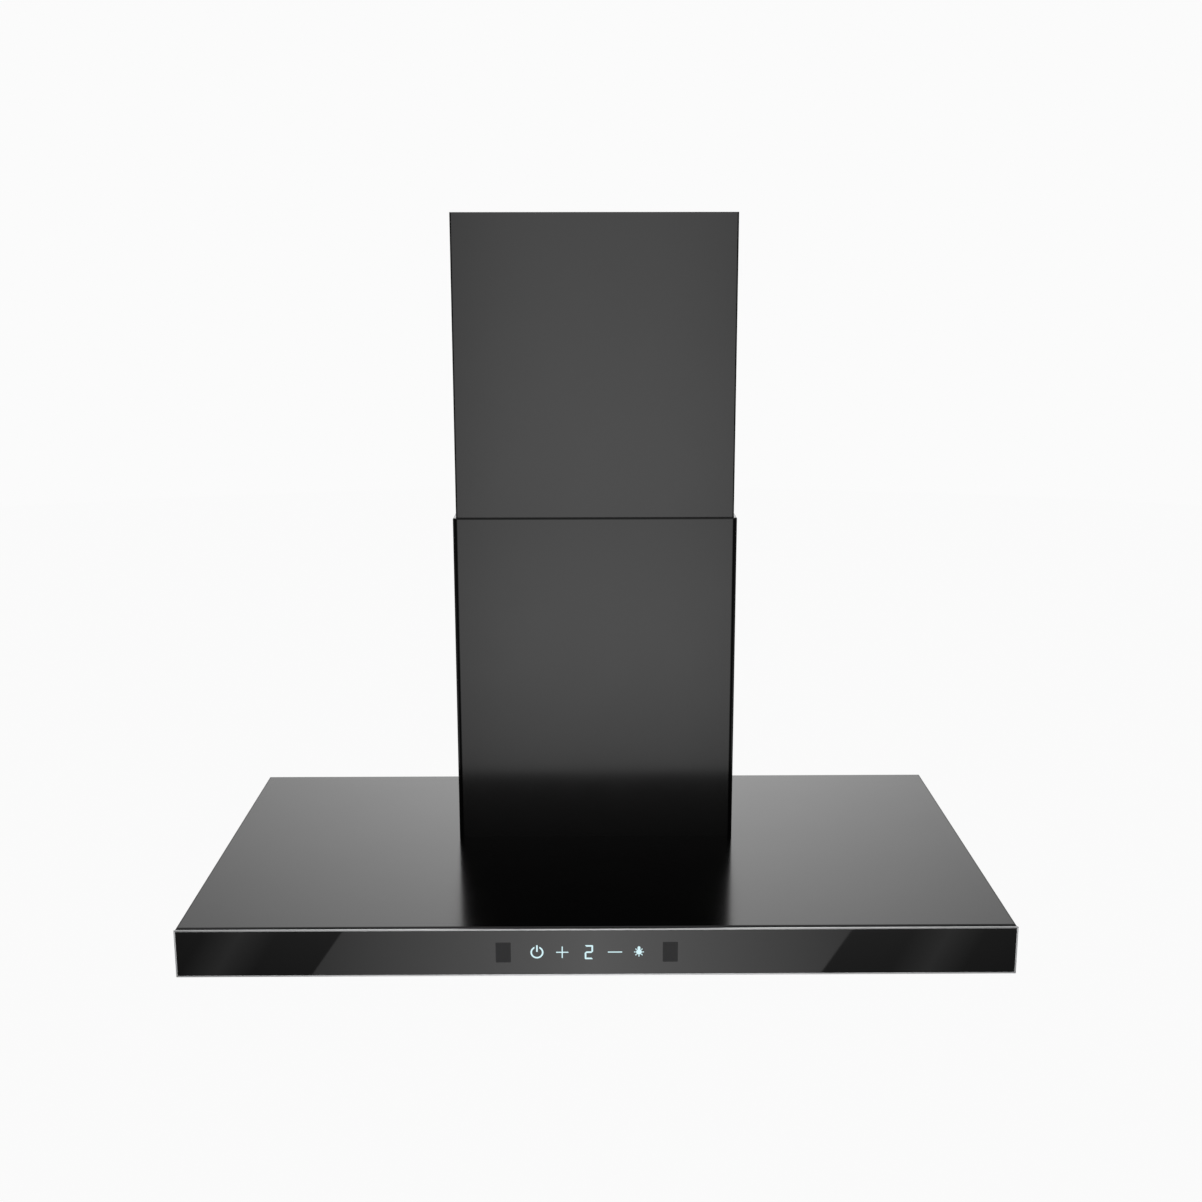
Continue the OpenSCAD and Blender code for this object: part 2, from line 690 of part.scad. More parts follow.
// Half-round flap on the +X side; knuckles and their gaps are given along the pin
module damper_flap(knuckles) {
    translate([0, collar_y, pin_z]) difference() {
        union() {
            difference() {
                rod_z(flap_r, [-0.5, 0.5]);
                span([-duct_r, 3.8], [-duct_r, duct_r], [-1, 1]);
                for (y = spring_gaps) span([0, 8], [y - 8, y + 8], [-1, 1]);
            }
            for (y = knuckles) {
                rod_y(3, [y - 7, y + 7]);
                span([1, 5], [y - 7, y + 7], [-0.5, 0.5]);
            }
        }
        rod_y(pin_r + 0.06, [-duct_r, duct_r]);
    }
}

module damper_flap_right() color([0.62, 0.63, 0.64]) damper_flap(flap_knuckles);

module damper_flap_left() color([0.62, 0.63, 0.64]) mirror([1, 0, 0]) damper_flap(-flap_knuckles);

// Light torsion spring round the pin, with a leg that lies on its flap
module damper_spring(y, side) {
    turns = 4;
    wire_r = 0.35;
    coil_r = 2.6;
    steps = 10 * turns;
    coil = [for (i = [0 : steps]) let (a = 360 * turns * i / steps)
        [side * coil_r * cos(a), y - 4 + 8 * i / steps, coil_r * sin(a)]];
    translate([0, collar_y, pin_z])
        tube(concat(coil, [[side * 6, y + 4.6, 1.4], [side * 16, y + 9, 0.95]]), wire_r, [0.1, 0.97, 0.2]);
}

module damper_spring_left() color([0.75, 0.76, 0.78]) damper_spring(spring_gaps[1] - 2, -1);

module damper_spring_right() color([0.75, 0.76, 0.78]) damper_spring(spring_gaps[0] - 2, 1);

// ---------------------------------------------------------------- electronics

module power_box() color([0.62, 0.63, 0.64]) difference() {
    union() {
        difference() {
            span(box_x, box_y, box_z);
            span([box_x[0] + 1, box_x[1] + 1], [box_y[0] + 1, box_y[1] - 1], [box_z[0] + 1, box_z[1] - 1]);
        }
        // posts under the board
        for (p = board_posts) translate([0, p[0], p[1]]) rod_x(3, [box_x[0] + 0.5, board_x]);
        // posts for the lid's screws
        for (p = lid_posts) translate([0, p[0], p[1]]) rod_x(4, [box_x[0] + 0.5, box_x[1]]);
    }
    for (p = lid_posts) translate([0, p[0], p[1]]) rod_x(1.5, [box_x[1] - 14, box_x[1] + 1]);
    translate([grommet_at[0], grommet_at[1], 0]) rod_z(6, [box_z[0] - 1, box_z[0] + 3]);
    translate([box_x[0] + 18, box_y[0] + 30, 0]) rod_z(8, [box_z[1] - 3, box_z[1] + 1]);
    translate([0, -34, lead_z]) rod_x(4, [box_x[0] - 1, box_x[0] + 3]);
}

module power_box_lid() color([0.62, 0.63, 0.64]) difference() {
    span([box_x[1], box_x[1] + 1], box_y, box_z);
    for (p = lid_posts) translate([0, p[0], p[1]]) rod_x(1.6, [box_x[1] - 1, box_x[1] + 2]);
}

module main_board() color([0.12, 0.32, 0.18]) {
    y0 = box_y[0] + 8;
    z0 = box_z[0] + 14;
    span([board_x, board_x + 1.6], [y0, box_y[1] - 16], [z0, box_z[1] - 40]);
    // relays, fuse, filter coil and capacitors
    for (i = [0 : 2])
        span([board_x + 1.6, board_x + 16], [y0 + 6 + 24 * i, y0 + 24 + 24 * i], [z0 + 6, z0 + 20]);
    for (i = [0 : 1]) translate([0, y0 + 90 + 18 * i, z0 + 14]) rod_x(6, [board_x + 1.6, board_x + 18]);
    span([board_x + 1.6, board_x + 10], [y0 + 80, y0 + 104], [z0 + 30, z0 + 38]);
}

module transformer() color([0.5, 0.42, 0.2]) {
    y0 = box_y[0] + 24;
    z0 = box_z[0] + 62;
    span([board_x + 1.6, board_x + 22], [y0, y0 + 44], [z0, z0 + 38]);
    span([board_x + 1.6, board_x + 24], [y0 + 10, y0 + 34], [z0 - 5, z0 + 43]);
}

module terminal_block() color([0.85, 0.85, 0.82]) {
    z0 = box_z[1] - 34;
    difference() {
        span([box_x[0] + 1, box_x[0] + 19], [box_y[0] + 50, box_y[0] + 104], [z0, z0 + 18]);
        for (i = [0 : 4]) translate([0, box_y[0] + 57 + 10 * i, z0 + 9])
            rod_x(2, [box_x[0] + 8, box_x[0] + 20]);
    }
}

// Cable gland with its nut inside the box
module mains_gland() color([0.1, 0.1, 0.1]) translate([box_x[0] + 18, box_y[0] + 30, 0]) difference() {
    union() {
        rod_z(7.9, [box_z[1] - 12, box_z[1] + 6]);
        rod_z(11, [box_z[1], box_z[1] + 5]);
        translate([0, 0, box_z[1] + 6]) cylinder(r1 = 9, r2 = 6.5, h = 12);
        translate([0, 0, box_z[1] - 7]) cylinder(r = 11, h = 6, $fn = 6);
    }
    rod_z(4, [box_z[1] - 13, box_z[1] + 20]);
}

module cable_grommet() color([0.08, 0.08, 0.08]) translate([grommet_at[0], grommet_at[1], canopy_h])
    rotate_extrude() polygon([
        [6, -3], [10, -3], [10, -sheet], [grommet_hole_r, -sheet],
        [grommet_hole_r, 0], [10, 0], [10, 2], [6, 2]
    ]);

module motor_capacitor() color([0.85, 0.85, 0.83]) translate([cap_x, -104, 0]) {
    rod_z(cap_r, [axis_z - 40, axis_z + 26]);
    for (x = [-5, 5]) span([x - 0.4, x + 0.4], [-3, 3], [axis_z + 26, axis_z + 36]);
    // strap that holds it to the tower
    translate([0, 0, axis_z - 12]) {
        difference() {
            rod_z(cap_r + 1, [0, 12]);
            rod_z(cap_r, [-1, 13]);
        }
        span([0, -cap_x - tower_w / 2], [cap_r, cap_r + 1], [0, 12]);
        span([-cap_x - tower_w / 2 - 1, -cap_x - tower_w / 2], [cap_r, cap_r + 12], [0, 12]);
    }
}

// Control, lamp and motor leads, from their sockets to the power box
module internal_cables() color([0.1, 0.1, 0.1]) {
    x = grommet_at[0];
    y = grommet_at[1];
    loft = canopy_h - 6;
    top = box_z[0] + 12;
    tube(rounded_route([[control_x + 72, housing_y[0] + 11.2, mid_z], [control_x + 72, -462, mid_z],
        [control_x + 72, -440, loft], [x + 2.5, -424, loft], [x + 2.5, y - 2, loft],
        [x + 2.5, y - 2, top]], 3), cable_r);
    tube(rounded_route([[-lamp_x, lamp_y, 28], [-lamp_x, lamp_y, loft - 2], [-lamp_x, -420, loft],
        [x - 2.5, -410, loft], [x - 2.5, y - 2, loft], [x - 2.5, y - 2, top]], 3), cable_r);
    tube(rounded_route([[lamp_x, lamp_y, 28], [lamp_x, lamp_y, loft - 2], [lamp_x, -420, loft],
        [x + 7.5, -410, loft], [x + 7.5, y + 2.5, loft], [x, y + 2.5, loft],
        [x, y + 2.5, top]], 3), cable_r);
    tube(rounded_route([[-64, axis_y + 20, axis_z + 10], [-84, axis_y + 20, axis_z + 10],
        [-84, -14, axis_z + 30], [-84, -14, lead_z], [90, -14, lead_z],
        [104, -34, lead_z], [box_x[0] + 8, -34, lead_z]], 3), cable_r + 0.8);
}

// Every screw that holds the fixed parts together
module hood_screws() color([0.4, 0.4, 0.42]) {
    for (p = tower_screws_at) translate([p[0], p[1], canopy_h + sheet]) screw(2.4, 8, 4.5, 2.8);
    for (p = collar_screws_at) translate([p[0], p[1], tower_top + 1.5]) screw(1.7, 6, 3.2, 2);
    for (p = frame_screws_at) translate([p[0], p[1], 0]) countersunk_screw();
    for (x = [-1, 1]) translate([control_x + x * (guide_half + 8), housing_y[0] + 2, mid_z])
        rotate([-90, 0, 0]) screw(1.3, 3.4, 2.6, 1.6);
    for (p = lid_posts) translate([box_x[1] + 1, p[0], p[1]]) rotate([0, 90, 0]) screw(1.4, 12, 3, 1.6);
    both() translate([lower_w / 2, foot_y, foot_screw_z]) rotate([0, 90, 0]) screw(1.9, 6, 3.6, 2);
    both() translate([lower_w / 2 - 10, foot_y, canopy_h + 1.5]) screw(1.9, 6, 3.6, 2);
}

// Countersunk screw that holds the underframe, pointing up with its head flush with z = 0
module countersunk_screw() difference() {
    union() {
        cylinder(r1 = 2.6, r2 = 1.4, h = sheet);
        rod_z(1.15, [0, 7]);
    }
    for (a = [0, 90]) rotate(a) span([-1.4, 1.4], [-0.35, 0.35], [-1, 0.5]);
}

// ---------------------------------------------------------------- filters

// Channel frame with a finger recess and its bar in the wide front member, made for the right bay
module filter_frame() difference() {
    x = [filter_x - filter_w / 2, filter_x + filter_w / 2];
    recess_y = [filter_y[0] + 7, filter_y[0] + 37];
    union() {
        difference() {
            span(x, filter_y, filter_z);
            span([x[0] + 1, x[1] - 1], [filter_y[0] + 1, filter_y[1] - 1],
                [filter_z[0] + 1, filter_z[1] - 1]);
            span([x[0] + side_bar, x[1] - side_bar],
                [filter_y[0] + front_bar, filter_y[1] - side_bar], [0, filter_z[1] + 1]);
        }
        // walls of the recess
        span([filter_x - 39, filter_x + 39], [recess_y[0] - 1, recess_y[1] + 1], filter_z);
        // tongues that lie on the rear edge of the bay
        for (dx = [-130, 130])
            span([filter_x + dx - 12, filter_x + dx + 12], [filter_y[1] - 1, filter_y[1] + 9],
                [plate_z[1], plate_z[1] + 1.2]);
    }
    difference() {
        span([filter_x - 38, filter_x + 38], recess_y, [filter_z[0] - 1, filter_z[1] - 1]);
        translate([0, recess_y[0] + 10, filter_z[0] + 2.5]) rod_x(2, [filter_x - 40, filter_x + 40]);
    }
}

// One rolled baffle in section, open upwards
module baffle_section(w) {
    t = baffle_t;
    polygon([[-w / 2, 3.6], [-w / 2 + t, 3.6], [-w / 2 + 2 + t, t], [w / 2 - 2 - t, t],
        [w / 2 - t, 3.6], [w / 2, 3.6], [w / 2 - 2, 0], [-w / 2 + 2, 0]]);
}

// Two staggered rows of baffles that run from front to back
module filter_baffles() {
    inner = filter_w - 2 * side_bar;
    pitch = inner / baffle_count;
    y = [filter_y[0] + front_bar - 6, filter_y[1] - 2];
    mid = (filter_z[0] + filter_z[1]) / 2;
    translate([filter_x - inner / 2, y[1], 0]) rotate([90, 0, 0]) linear_extrude(y[1] - y[0]) {
        for (i = [0 : baffle_count - 1])
            translate([(i + 0.5) * pitch, mid - 3.9]) baffle_section(pitch * 0.64);
        for (i = [1 : baffle_count - 1])
            translate([i * pitch, mid + 3.9]) mirror([0, 1]) baffle_section(pitch * 0.64);
    }
}

// Leaf springs on the front edge that snap over the plate
module filter_clips() for (dx = [-clip_x, clip_x]) {
    translate([filter_x + dx + 8, filter_y[0], 0]) rotate([90, 0, -90]) linear_extrude(16)
        polygon([[0, 9.5], [0.7, 9.5], [0.7, 6.2], [4.6, 4.2], [1, 2.5], [0, 2.3]]);
}

module filter_right_frame() color([0.6, 0.61, 0.62]) filter_frame();

module filter_right_baffles() color([0.6, 0.61, 0.62]) filter_baffles();

module filter_right_clips() color([0.75, 0.76, 0.78]) filter_clips();

module filter_left_frame() color([0.6, 0.61, 0.62]) mirror([1, 0, 0]) filter_frame();

module filter_left_baffles() color([0.6, 0.61, 0.62]) mirror([1, 0, 0]) filter_baffles();

module filter_left_clips() color([0.75, 0.76, 0.78]) mirror([1, 0, 0]) filter_clips();

canopy_shell();
canopy_underframe();
front_trim();
front_glass();
glass_tape();
icon_power();
icon_plus();
icon_minus();
icon_lamp();
display_digit();
gesture_window(0);  // gesture_window_left
gesture_window(1);  // gesture_window_right
light_guide();
touch_board();
control_housing();
at_lamp(-1) lamp_bezel();  // lamp_left_bezel
at_lamp(1) lamp_bezel();  // lamp_right_bezel
at_lamp(-1) lamp_lens();  // lamp_left_lens
at_lamp(1) lamp_lens();  // lamp_right_lens
at_lamp(-1) lamp_housing();  // lamp_left_housing
at_lamp(1) lamp_housing();  // lamp_right_housing
lower_chimney();
chimney_feet();
motor_tower();
scroll_wrap();
scroll_side_left();
scroll_side_right();
inlet_rings();
motor_bracket();
motor_housing();
motor_bearings();
motor_stator();
duct_collar();
damper_pin();
damper_spring_left();
damper_spring_right();
power_box();
power_box_lid();
main_board();
transformer();
terminal_block();
mains_gland();
cable_grommet();
motor_capacitor();
internal_cables();
hood_screws();
impeller();
motor_shaft();
impeller_nut();
upper_chimney();
chimney_bracket();
upper_chimney_screws();
damper_flap_left();
damper_flap_right();
filter_left_frame();
filter_left_baffles();
filter_left_clips();
filter_right_frame();
filter_right_baffles();
filter_right_clips();
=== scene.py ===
"""Visual model of a wall-mounted chimney range hood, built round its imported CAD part.

The wall is the plane y = 0, the front faces -Y and z = 0 is the canopy's lower rim. All sizes are
in metres. Each sub-assembly has its class: it reads its places from the CAD boxes, builds the meshes
that refine or replace the CAD solids, and dresses them with procedural finishes.
"""

import json
import logging
import math
from dataclasses import dataclass, field
from enum import Enum
from typing import Iterable, Optional, Sequence

import bmesh
import bpy
from mathutils import Matrix, Vector


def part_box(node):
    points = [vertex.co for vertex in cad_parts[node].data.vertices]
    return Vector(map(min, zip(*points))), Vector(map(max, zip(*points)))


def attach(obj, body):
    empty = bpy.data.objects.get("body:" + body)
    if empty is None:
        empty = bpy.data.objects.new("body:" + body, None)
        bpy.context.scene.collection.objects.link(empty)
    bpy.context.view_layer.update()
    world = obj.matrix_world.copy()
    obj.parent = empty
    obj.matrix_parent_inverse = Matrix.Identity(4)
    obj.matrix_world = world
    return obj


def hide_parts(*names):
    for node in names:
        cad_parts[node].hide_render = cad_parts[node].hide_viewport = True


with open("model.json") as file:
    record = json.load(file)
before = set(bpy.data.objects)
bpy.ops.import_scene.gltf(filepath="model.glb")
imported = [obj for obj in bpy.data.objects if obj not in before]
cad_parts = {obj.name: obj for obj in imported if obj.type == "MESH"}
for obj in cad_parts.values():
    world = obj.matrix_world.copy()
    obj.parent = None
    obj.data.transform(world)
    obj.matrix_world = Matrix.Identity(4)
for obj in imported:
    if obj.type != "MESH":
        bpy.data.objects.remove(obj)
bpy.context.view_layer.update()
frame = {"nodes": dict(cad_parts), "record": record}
LOG = logging.getLogger("range_hood")

Pair = tuple[float, float]
Triple = tuple[float, float, float]
RGB = Triple
# the left and right end of a strip's upper edge, then of its lower edge
Strip = tuple[Pair, Pair]

MM = 0.001
X, Y, Z = (1.0, 0.0, 0.0), (0.0, 1.0, 0.0), (0.0, 0.0, 1.0)
ALONG_X = Matrix.Rotation(math.pi / 2, 4, "Y")
# distance within which two mesh points are one
SAME_POINT = 1e-6
# angle in degrees above which an edge stays sharp
SHARP = 35.0
# spans that the sum of a finish's broad patches and fine texture mostly lies in
COLOR_SPAN = (0.75, 1.25)
GLOSS_SPAN = (0.7, 1.3)
COAT_ROUGHNESS = 0.06


class Body(Enum):
    """CAD bodies that the pieces ride on."""

    HOOD = "hood"
    IMPELLER = "impeller_body"
    UPPER = "upper_chimney_body"
    FLAP_LEFT = "damper_left_body"
    FLAP_RIGHT = "damper_right_body"
    FILTER_LEFT = "filter_left_body"
    FILTER_RIGHT = "filter_right_body"


class Pattern(Enum):
    """Fine texture of a finish."""

    PEEL = "fine pebbling of baked enamel or moulded plastic"
    BRUSHED = "long scratches left by rolling or brushing"
    SPANGLE = "crystals of hot-dip zinc"
    CAST = "grainy skin of die-cast metal"
    WOUND = "even turns of wire"


# ---------------------------------------------------------------- node trees


class NodeSheet:
    """A node tree that is being filled in."""

    def __init__(self, tree: bpy.types.NodeTree) -> None:
        """Keeps the tree.

        Args:
            tree: A shader or geometry tree.
        """
        self.tree = tree

    def add(self, kind: str, inputs: Optional[dict] = None, **settings: object) -> bpy.types.Node:
        """Adds one node.

        Args:
            kind: The node's type name.
            inputs: Values or output sockets for its inputs, by name or number.
            **settings: The node's own properties.

        Returns:
            The new node.
        """
        node = self.tree.nodes.new(kind)
        for name, value in settings.items():
            setattr(node, name, value)
        for key, value in (inputs or {}).items():
            if isinstance(value, bpy.types.NodeSocket):
                self.tree.links.new(value, node.inputs[key])
            else:
                node.inputs[key].default_value = value
        return node

    def math(self, operation: str, *values: object) -> bpy.types.NodeSocket:
        """Result of one step of arithmetic on numbers or output sockets."""
        return self.add("ShaderNodeMath", dict(enumerate(values)), operation=operation).outputs[0]


def blank_material(name: str) -> tuple[bpy.types.Material, NodeSheet]:
    """Starts a material.

    Args:
        name: Name of the material.

    Returns:
        The material, and the sheet of its empty tree.
    """
    material = bpy.data.materials.new(name)
    material.use_nodes = True
    material.node_tree.nodes.clear()
    return material, NodeSheet(material.node_tree)


# ---------------------------------------------------------------- finishes


@dataclass(frozen=True)
class Finish:
    """A procedural finish of one kind of surface.

    Attributes:
        color: Main colour, linear.
        second: Colour that it drifts to in places.
        metallic: 1 for bare metal.
        roughness: Lowest and highest roughness.
        pattern: Fine texture.
        scale: Fine features per metre.
        stretch: How much denser the fine texture is along each axis.
        cloud: Broad patches per metre.
        relief: Depth of the fine texture, in metres.
        bump: Strength of the relief's shading.
        specular: Strength of the mirror reflection at 0.5 for IOR 1.5.
        coat: Weight of a clear coat.
        glow: Strength of the light it gives off.
        glow_color: Colour of that light, linear.
    """

    color: RGB
    second: RGB
    metallic: float = 0.0
    roughness: Pair = (0.3, 0.45)
    pattern: Pattern = Pattern.PEEL
    scale: float = 900.0
    stretch: Triple = (1.0, 1.0, 1.0)
    cloud: float = 14.0
    relief: float = 0.00003
    bump: float = 0.25
    specular: float = 0.5
    coat: float = 0.0
    glow: float = 0.0
    glow_color: RGB = (1.0, 1.0, 1.0)

    def material(self, name: str) -> bpy.types.Material:
        """Builds the finish's node tree.

        Args:
            name: Name of the new material.

        Returns:
            The material.
        """
        material, sheet = blank_material(name)
        place = sheet.add("ShaderNodeTexCoord").outputs["Object"]
        cloud = sheet.add("ShaderNodeTexNoise", {"Vector": place, "Scale": self.cloud, "Detail": 3.0})
        grain = self._grain(sheet, place)
        drift = sheet.math("ADD", cloud.outputs["Fac"], grain)
        share = sheet.add("ShaderNodeMapRange", {"Value": drift, 1: COLOR_SPAN[0], 2: COLOR_SPAN[1]})
        color = sheet.add("ShaderNodeMix", {
            0: share.outputs[0], 6: (*self.color, 1.0), 7: (*self.second, 1.0)}, data_type="RGBA").outputs[2]
        rough = sheet.add("ShaderNodeMapRange", {"Value": drift, 1: GLOSS_SPAN[0], 2: GLOSS_SPAN[1],
                                                 3: self.roughness[0], 4: self.roughness[1]})
        bump = sheet.add("ShaderNodeBump", {"Height": grain, "Strength": self.bump, "Distance": self.relief})
        surface = sheet.add("ShaderNodeBsdfPrincipled", {
            "Base Color": color, "Metallic": self.metallic, "Roughness": rough.outputs[0],
            "Specular IOR Level": self.specular, "Coat Weight": self.coat, "Coat Roughness": COAT_ROUGHNESS,
            "Normal": bump.outputs[0]})
        if self.glow:
            surface.inputs["Emission Color"].default_value = (*self.glow_color, 1.0)
            surface.inputs["Emission Strength"].default_value = self.glow
        sheet.add("ShaderNodeOutputMaterial", {0: surface.outputs[0]})
        material.diffuse_color = (*self.color, 1.0)
        return material

    def _grain(self, sheet: NodeSheet, place: bpy.types.NodeSocket) -> bpy.types.NodeSocket:
        """Builds the nodes of the fine texture.

        Args:
            sheet: Tree that they go into.
            place: Point on the piece.

        Returns:
            The texture as a value from 0 to 1.
        """
        stretched = sheet.add("ShaderNodeMapping", {"Vector": place, "Scale": self.stretch})
        spot = {"Vector": stretched.outputs[0], "Scale": self.scale}
        if self.pattern is Pattern.SPANGLE:
            cell = sheet.add("ShaderNodeTexVoronoi", spot)
            return sheet.add("ShaderNodeRGBToBW", {0: cell.outputs["Color"]}).outputs[0]
        if self.pattern is Pattern.WOUND:
            wave = sheet.add("ShaderNodeTexWave", {**spot, "Distortion": 0.4}, bands_direction="X")
            return wave.outputs["Fac"]
        detail = {Pattern.PEEL: 2.0, Pattern.BRUSHED: 5.0, Pattern.CAST: 6.0}[self.pattern]
        return sheet.add("ShaderNodeTexNoise", {**spot, "Detail": detail}).outputs["Fac"]


FINISHES: dict[str, Finish] = {
    "black_enamel": Finish((0.0012, 0.0012, 0.0012), (0.0018, 0.0018, 0.0018), 0.0, (0.14, 0.17),
                           scale=1100.0, relief=0.000004, bump=0.12),
    "underframe_enamel": Finish((0.03, 0.03, 0.031), (0.04, 0.04, 0.041), 0.0, (0.3, 0.4), scale=900.0),
    "trim_aluminium": Finish((0.72, 0.725, 0.73), (0.66, 0.665, 0.67), 1.0, (0.38, 0.46), Pattern.BRUSHED,
                             300.0, (0.05, 4.0, 4.0), bump=0.08),
    "black_glass": Finish((0.001, 0.001, 0.001), (0.0014, 0.0014, 0.0014), 0.0, (0.02, 0.03), scale=60.0,
                          relief=0.000001, bump=0.02),
    "foam_tape": Finish((0.03, 0.03, 0.03), (0.05, 0.05, 0.05), 0.0, (0.85, 0.95), scale=1500.0, bump=0.6),
    "lit_symbol": Finish((0.02, 0.03, 0.032), (0.025, 0.035, 0.037), 0.0, (0.3, 0.4), specular=0.2, glow=0.95,
                         glow_color=(0.7, 0.95, 1.0)),
    "sensor_window": Finish((0.022, 0.022, 0.023), (0.026, 0.026, 0.027), 0.0, (0.3, 0.36), scale=1800.0,
                            specular=0.2),
    "light_diffuser": Finish((0.8, 0.8, 0.78), (0.72, 0.72, 0.7), 0.0, (0.4, 0.5)),
    "circuit_board": Finish((0.02, 0.12, 0.05), (0.015, 0.08, 0.035), 0.0, (0.25, 0.35), Pattern.CAST,
                            700.0, bump=0.1, coat=0.5),
    "housing_plastic": Finish((0.025, 0.025, 0.027), (0.035, 0.035, 0.036), 0.0, (0.38, 0.5), scale=1400.0),
    "lamp_bezel_metal": Finish((0.62, 0.62, 0.61), (0.5, 0.5, 0.5), 1.0, (0.24, 0.34), Pattern.BRUSHED,
                               500.0, bump=0.1),
    "lamp_lens": Finish((0.86, 0.85, 0.8), (0.78, 0.77, 0.73), 0.0, (0.12, 0.22), scale=700.0, coat=0.3),
    "heat_sink": Finish((0.5, 0.5, 0.51), (0.4, 0.4, 0.41), 1.0, (0.4, 0.55), Pattern.CAST, 500.0),
    "zinc_sheet": Finish((0.46, 0.47, 0.48), (0.41, 0.42, 0.43), 1.0, (0.34, 0.46), Pattern.SPANGLE, 130.0,
                         bump=0.02),
    "bracket_steel": Finish((0.5, 0.5, 0.51), (0.4, 0.4, 0.42), 1.0, (0.3, 0.45), Pattern.SPANGLE, 160.0),
    "blower_plastic": Finish((0.03, 0.03, 0.031), (0.045, 0.045, 0.046), 0.0, (0.4, 0.55), scale=1000.0),
    "motor_casting": Finish((0.5, 0.5, 0.51), (0.38, 0.38, 0.4), 1.0, (0.42, 0.6), Pattern.CAST, 700.0,
                            bump=0.5),
    "bright_steel": Finish((0.68, 0.68, 0.69), (0.58, 0.58, 0.6), 1.0, (0.16, 0.28), Pattern.BRUSHED,
                           700.0, (0.2, 3.0, 3.0)),
    "motor_winding": Finish((0.36, 0.13, 0.05), (0.24, 0.08, 0.03), 0.4, (0.28, 0.4), Pattern.WOUND,
                            900.0, bump=0.6, coat=0.4),
    "transformer_winding": Finish((0.42, 0.3, 0.08), (0.32, 0.22, 0.05), 0.1, (0.3, 0.42), Pattern.WOUND,
                                  800.0, bump=0.4, coat=0.3),
    "terminal_plastic": Finish((0.74, 0.73, 0.68), (0.66, 0.65, 0.6), 0.0, (0.36, 0.46)),
    "gland_rubber": Finish((0.018, 0.018, 0.018), (0.03, 0.03, 0.03), 0.0, (0.6, 0.75)),
    "cable_sheath": Finish((0.02, 0.02, 0.02), (0.04, 0.04, 0.04), 0.0, (0.45, 0.55)),
    "screw_steel": Finish((0.42, 0.42, 0.43), (0.3, 0.3, 0.31), 1.0, (0.25, 0.4), Pattern.BRUSHED, 1500.0),
    "filter_steel": Finish((0.6, 0.6, 0.6), (0.5, 0.5, 0.51), 1.0, (0.22, 0.34), Pattern.BRUSHED,
                           240.0, (3.0, 0.08, 3.0), bump=0.12),
    "spring_steel": Finish((0.55, 0.55, 0.57), (0.45, 0.45, 0.48), 1.0, (0.18, 0.3)),
}


class Wardrobe:
    """Makes each finish's material once and puts it on pieces."""

    def __init__(self) -> None:
        """Starts with no materials."""
        self._made: dict[str, bpy.types.Material] = {}

    def material(self, slot: str) -> bpy.types.Material:
        """Looks up a finish's material, or makes it when it is first asked for.

        Args:
            slot: Name of the finish.

        Returns:
            The material.
        """
        if slot not in self._made:
            self._made[slot] = FINISHES[slot].material(slot)
        return self._made[slot]

    def dress(self, piece: bpy.types.Object, slot: str) -> None:
        """Gives a piece one finish all over.

        Args:
            piece: The piece's object.
            slot: Name of the finish.
        """
        piece.data.materials.clear()
        piece.data.materials.append(self.material(slot))

    def dress_cad(self) -> None:
        """Gives every CAD node the finish that the record names for it."""
        for part in frame["record"]["subparts"]:
            self.dress(frame["nodes"][part["node"]], part["material_slot"])
            LOG.info("dressed %s in %s", part["node"], part["material_slot"])


def place_mesh(name: str, shape: bmesh.types.BMesh) -> bpy.types.Object:
    """Turns a finished shape into an object at the origin.

    Args:
        name: Name of the object.
        shape: The shape, which is freed.

    Returns:
        The new object, linked to the scene.
    """
    mesh = bpy.data.meshes.new(name)
    shape.to_mesh(mesh)
    shape.free()
    piece = bpy.data.objects.new(name, mesh)
    bpy.context.scene.collection.objects.link(piece)
    return piece


def lit_surface(name: str, glow: float, base: float) -> bpy.types.Material:
    """Matt white surface that mostly gives off its own even light.

    Args:
        name: Name of the material.
        glow: Brightness of its own light.
        base: How much of the light that falls on it comes back.

    Returns:
        The material.
    """
    material = bpy.data.materials.new(name)
    material.use_nodes = True
    surface = material.node_tree.nodes["Principled BSDF"]
    surface.inputs["Base Color"].default_value = (base, base, base, 1.0)
    surface.inputs["Specular IOR Level"].default_value = 0.0
    surface.inputs["Roughness"].default_value = 0.9
    surface.inputs["Emission Color"].default_value = (1.0, 1.0, 1.0, 1.0)
    surface.inputs["Emission Strength"].default_value = glow
    return material


# ---------------------------------------------------------------- studio


@dataclass(frozen=True)
class Softbox:
    """A soft patch of light in the surroundings, far away from the object.

    Attributes:
        azimuth: Its direction in degrees; 0 is behind the hood and 180 in front of it.
        elevation: Its height above the horizon, in degrees.
        strength: Brightness at its middle.
        tightness: How quickly it fades away from the middle.
    """

    azimuth: float
    elevation: float
    strength: float
    tightness: float

    def direction(self) -> Vector:
        """Unit vector towards its middle."""
        turn, rise = math.radians(self.azimuth), math.radians(self.elevation)
        return Vector((math.sin(turn) * math.cos(rise), math.cos(turn) * math.cos(rise), math.sin(rise)))


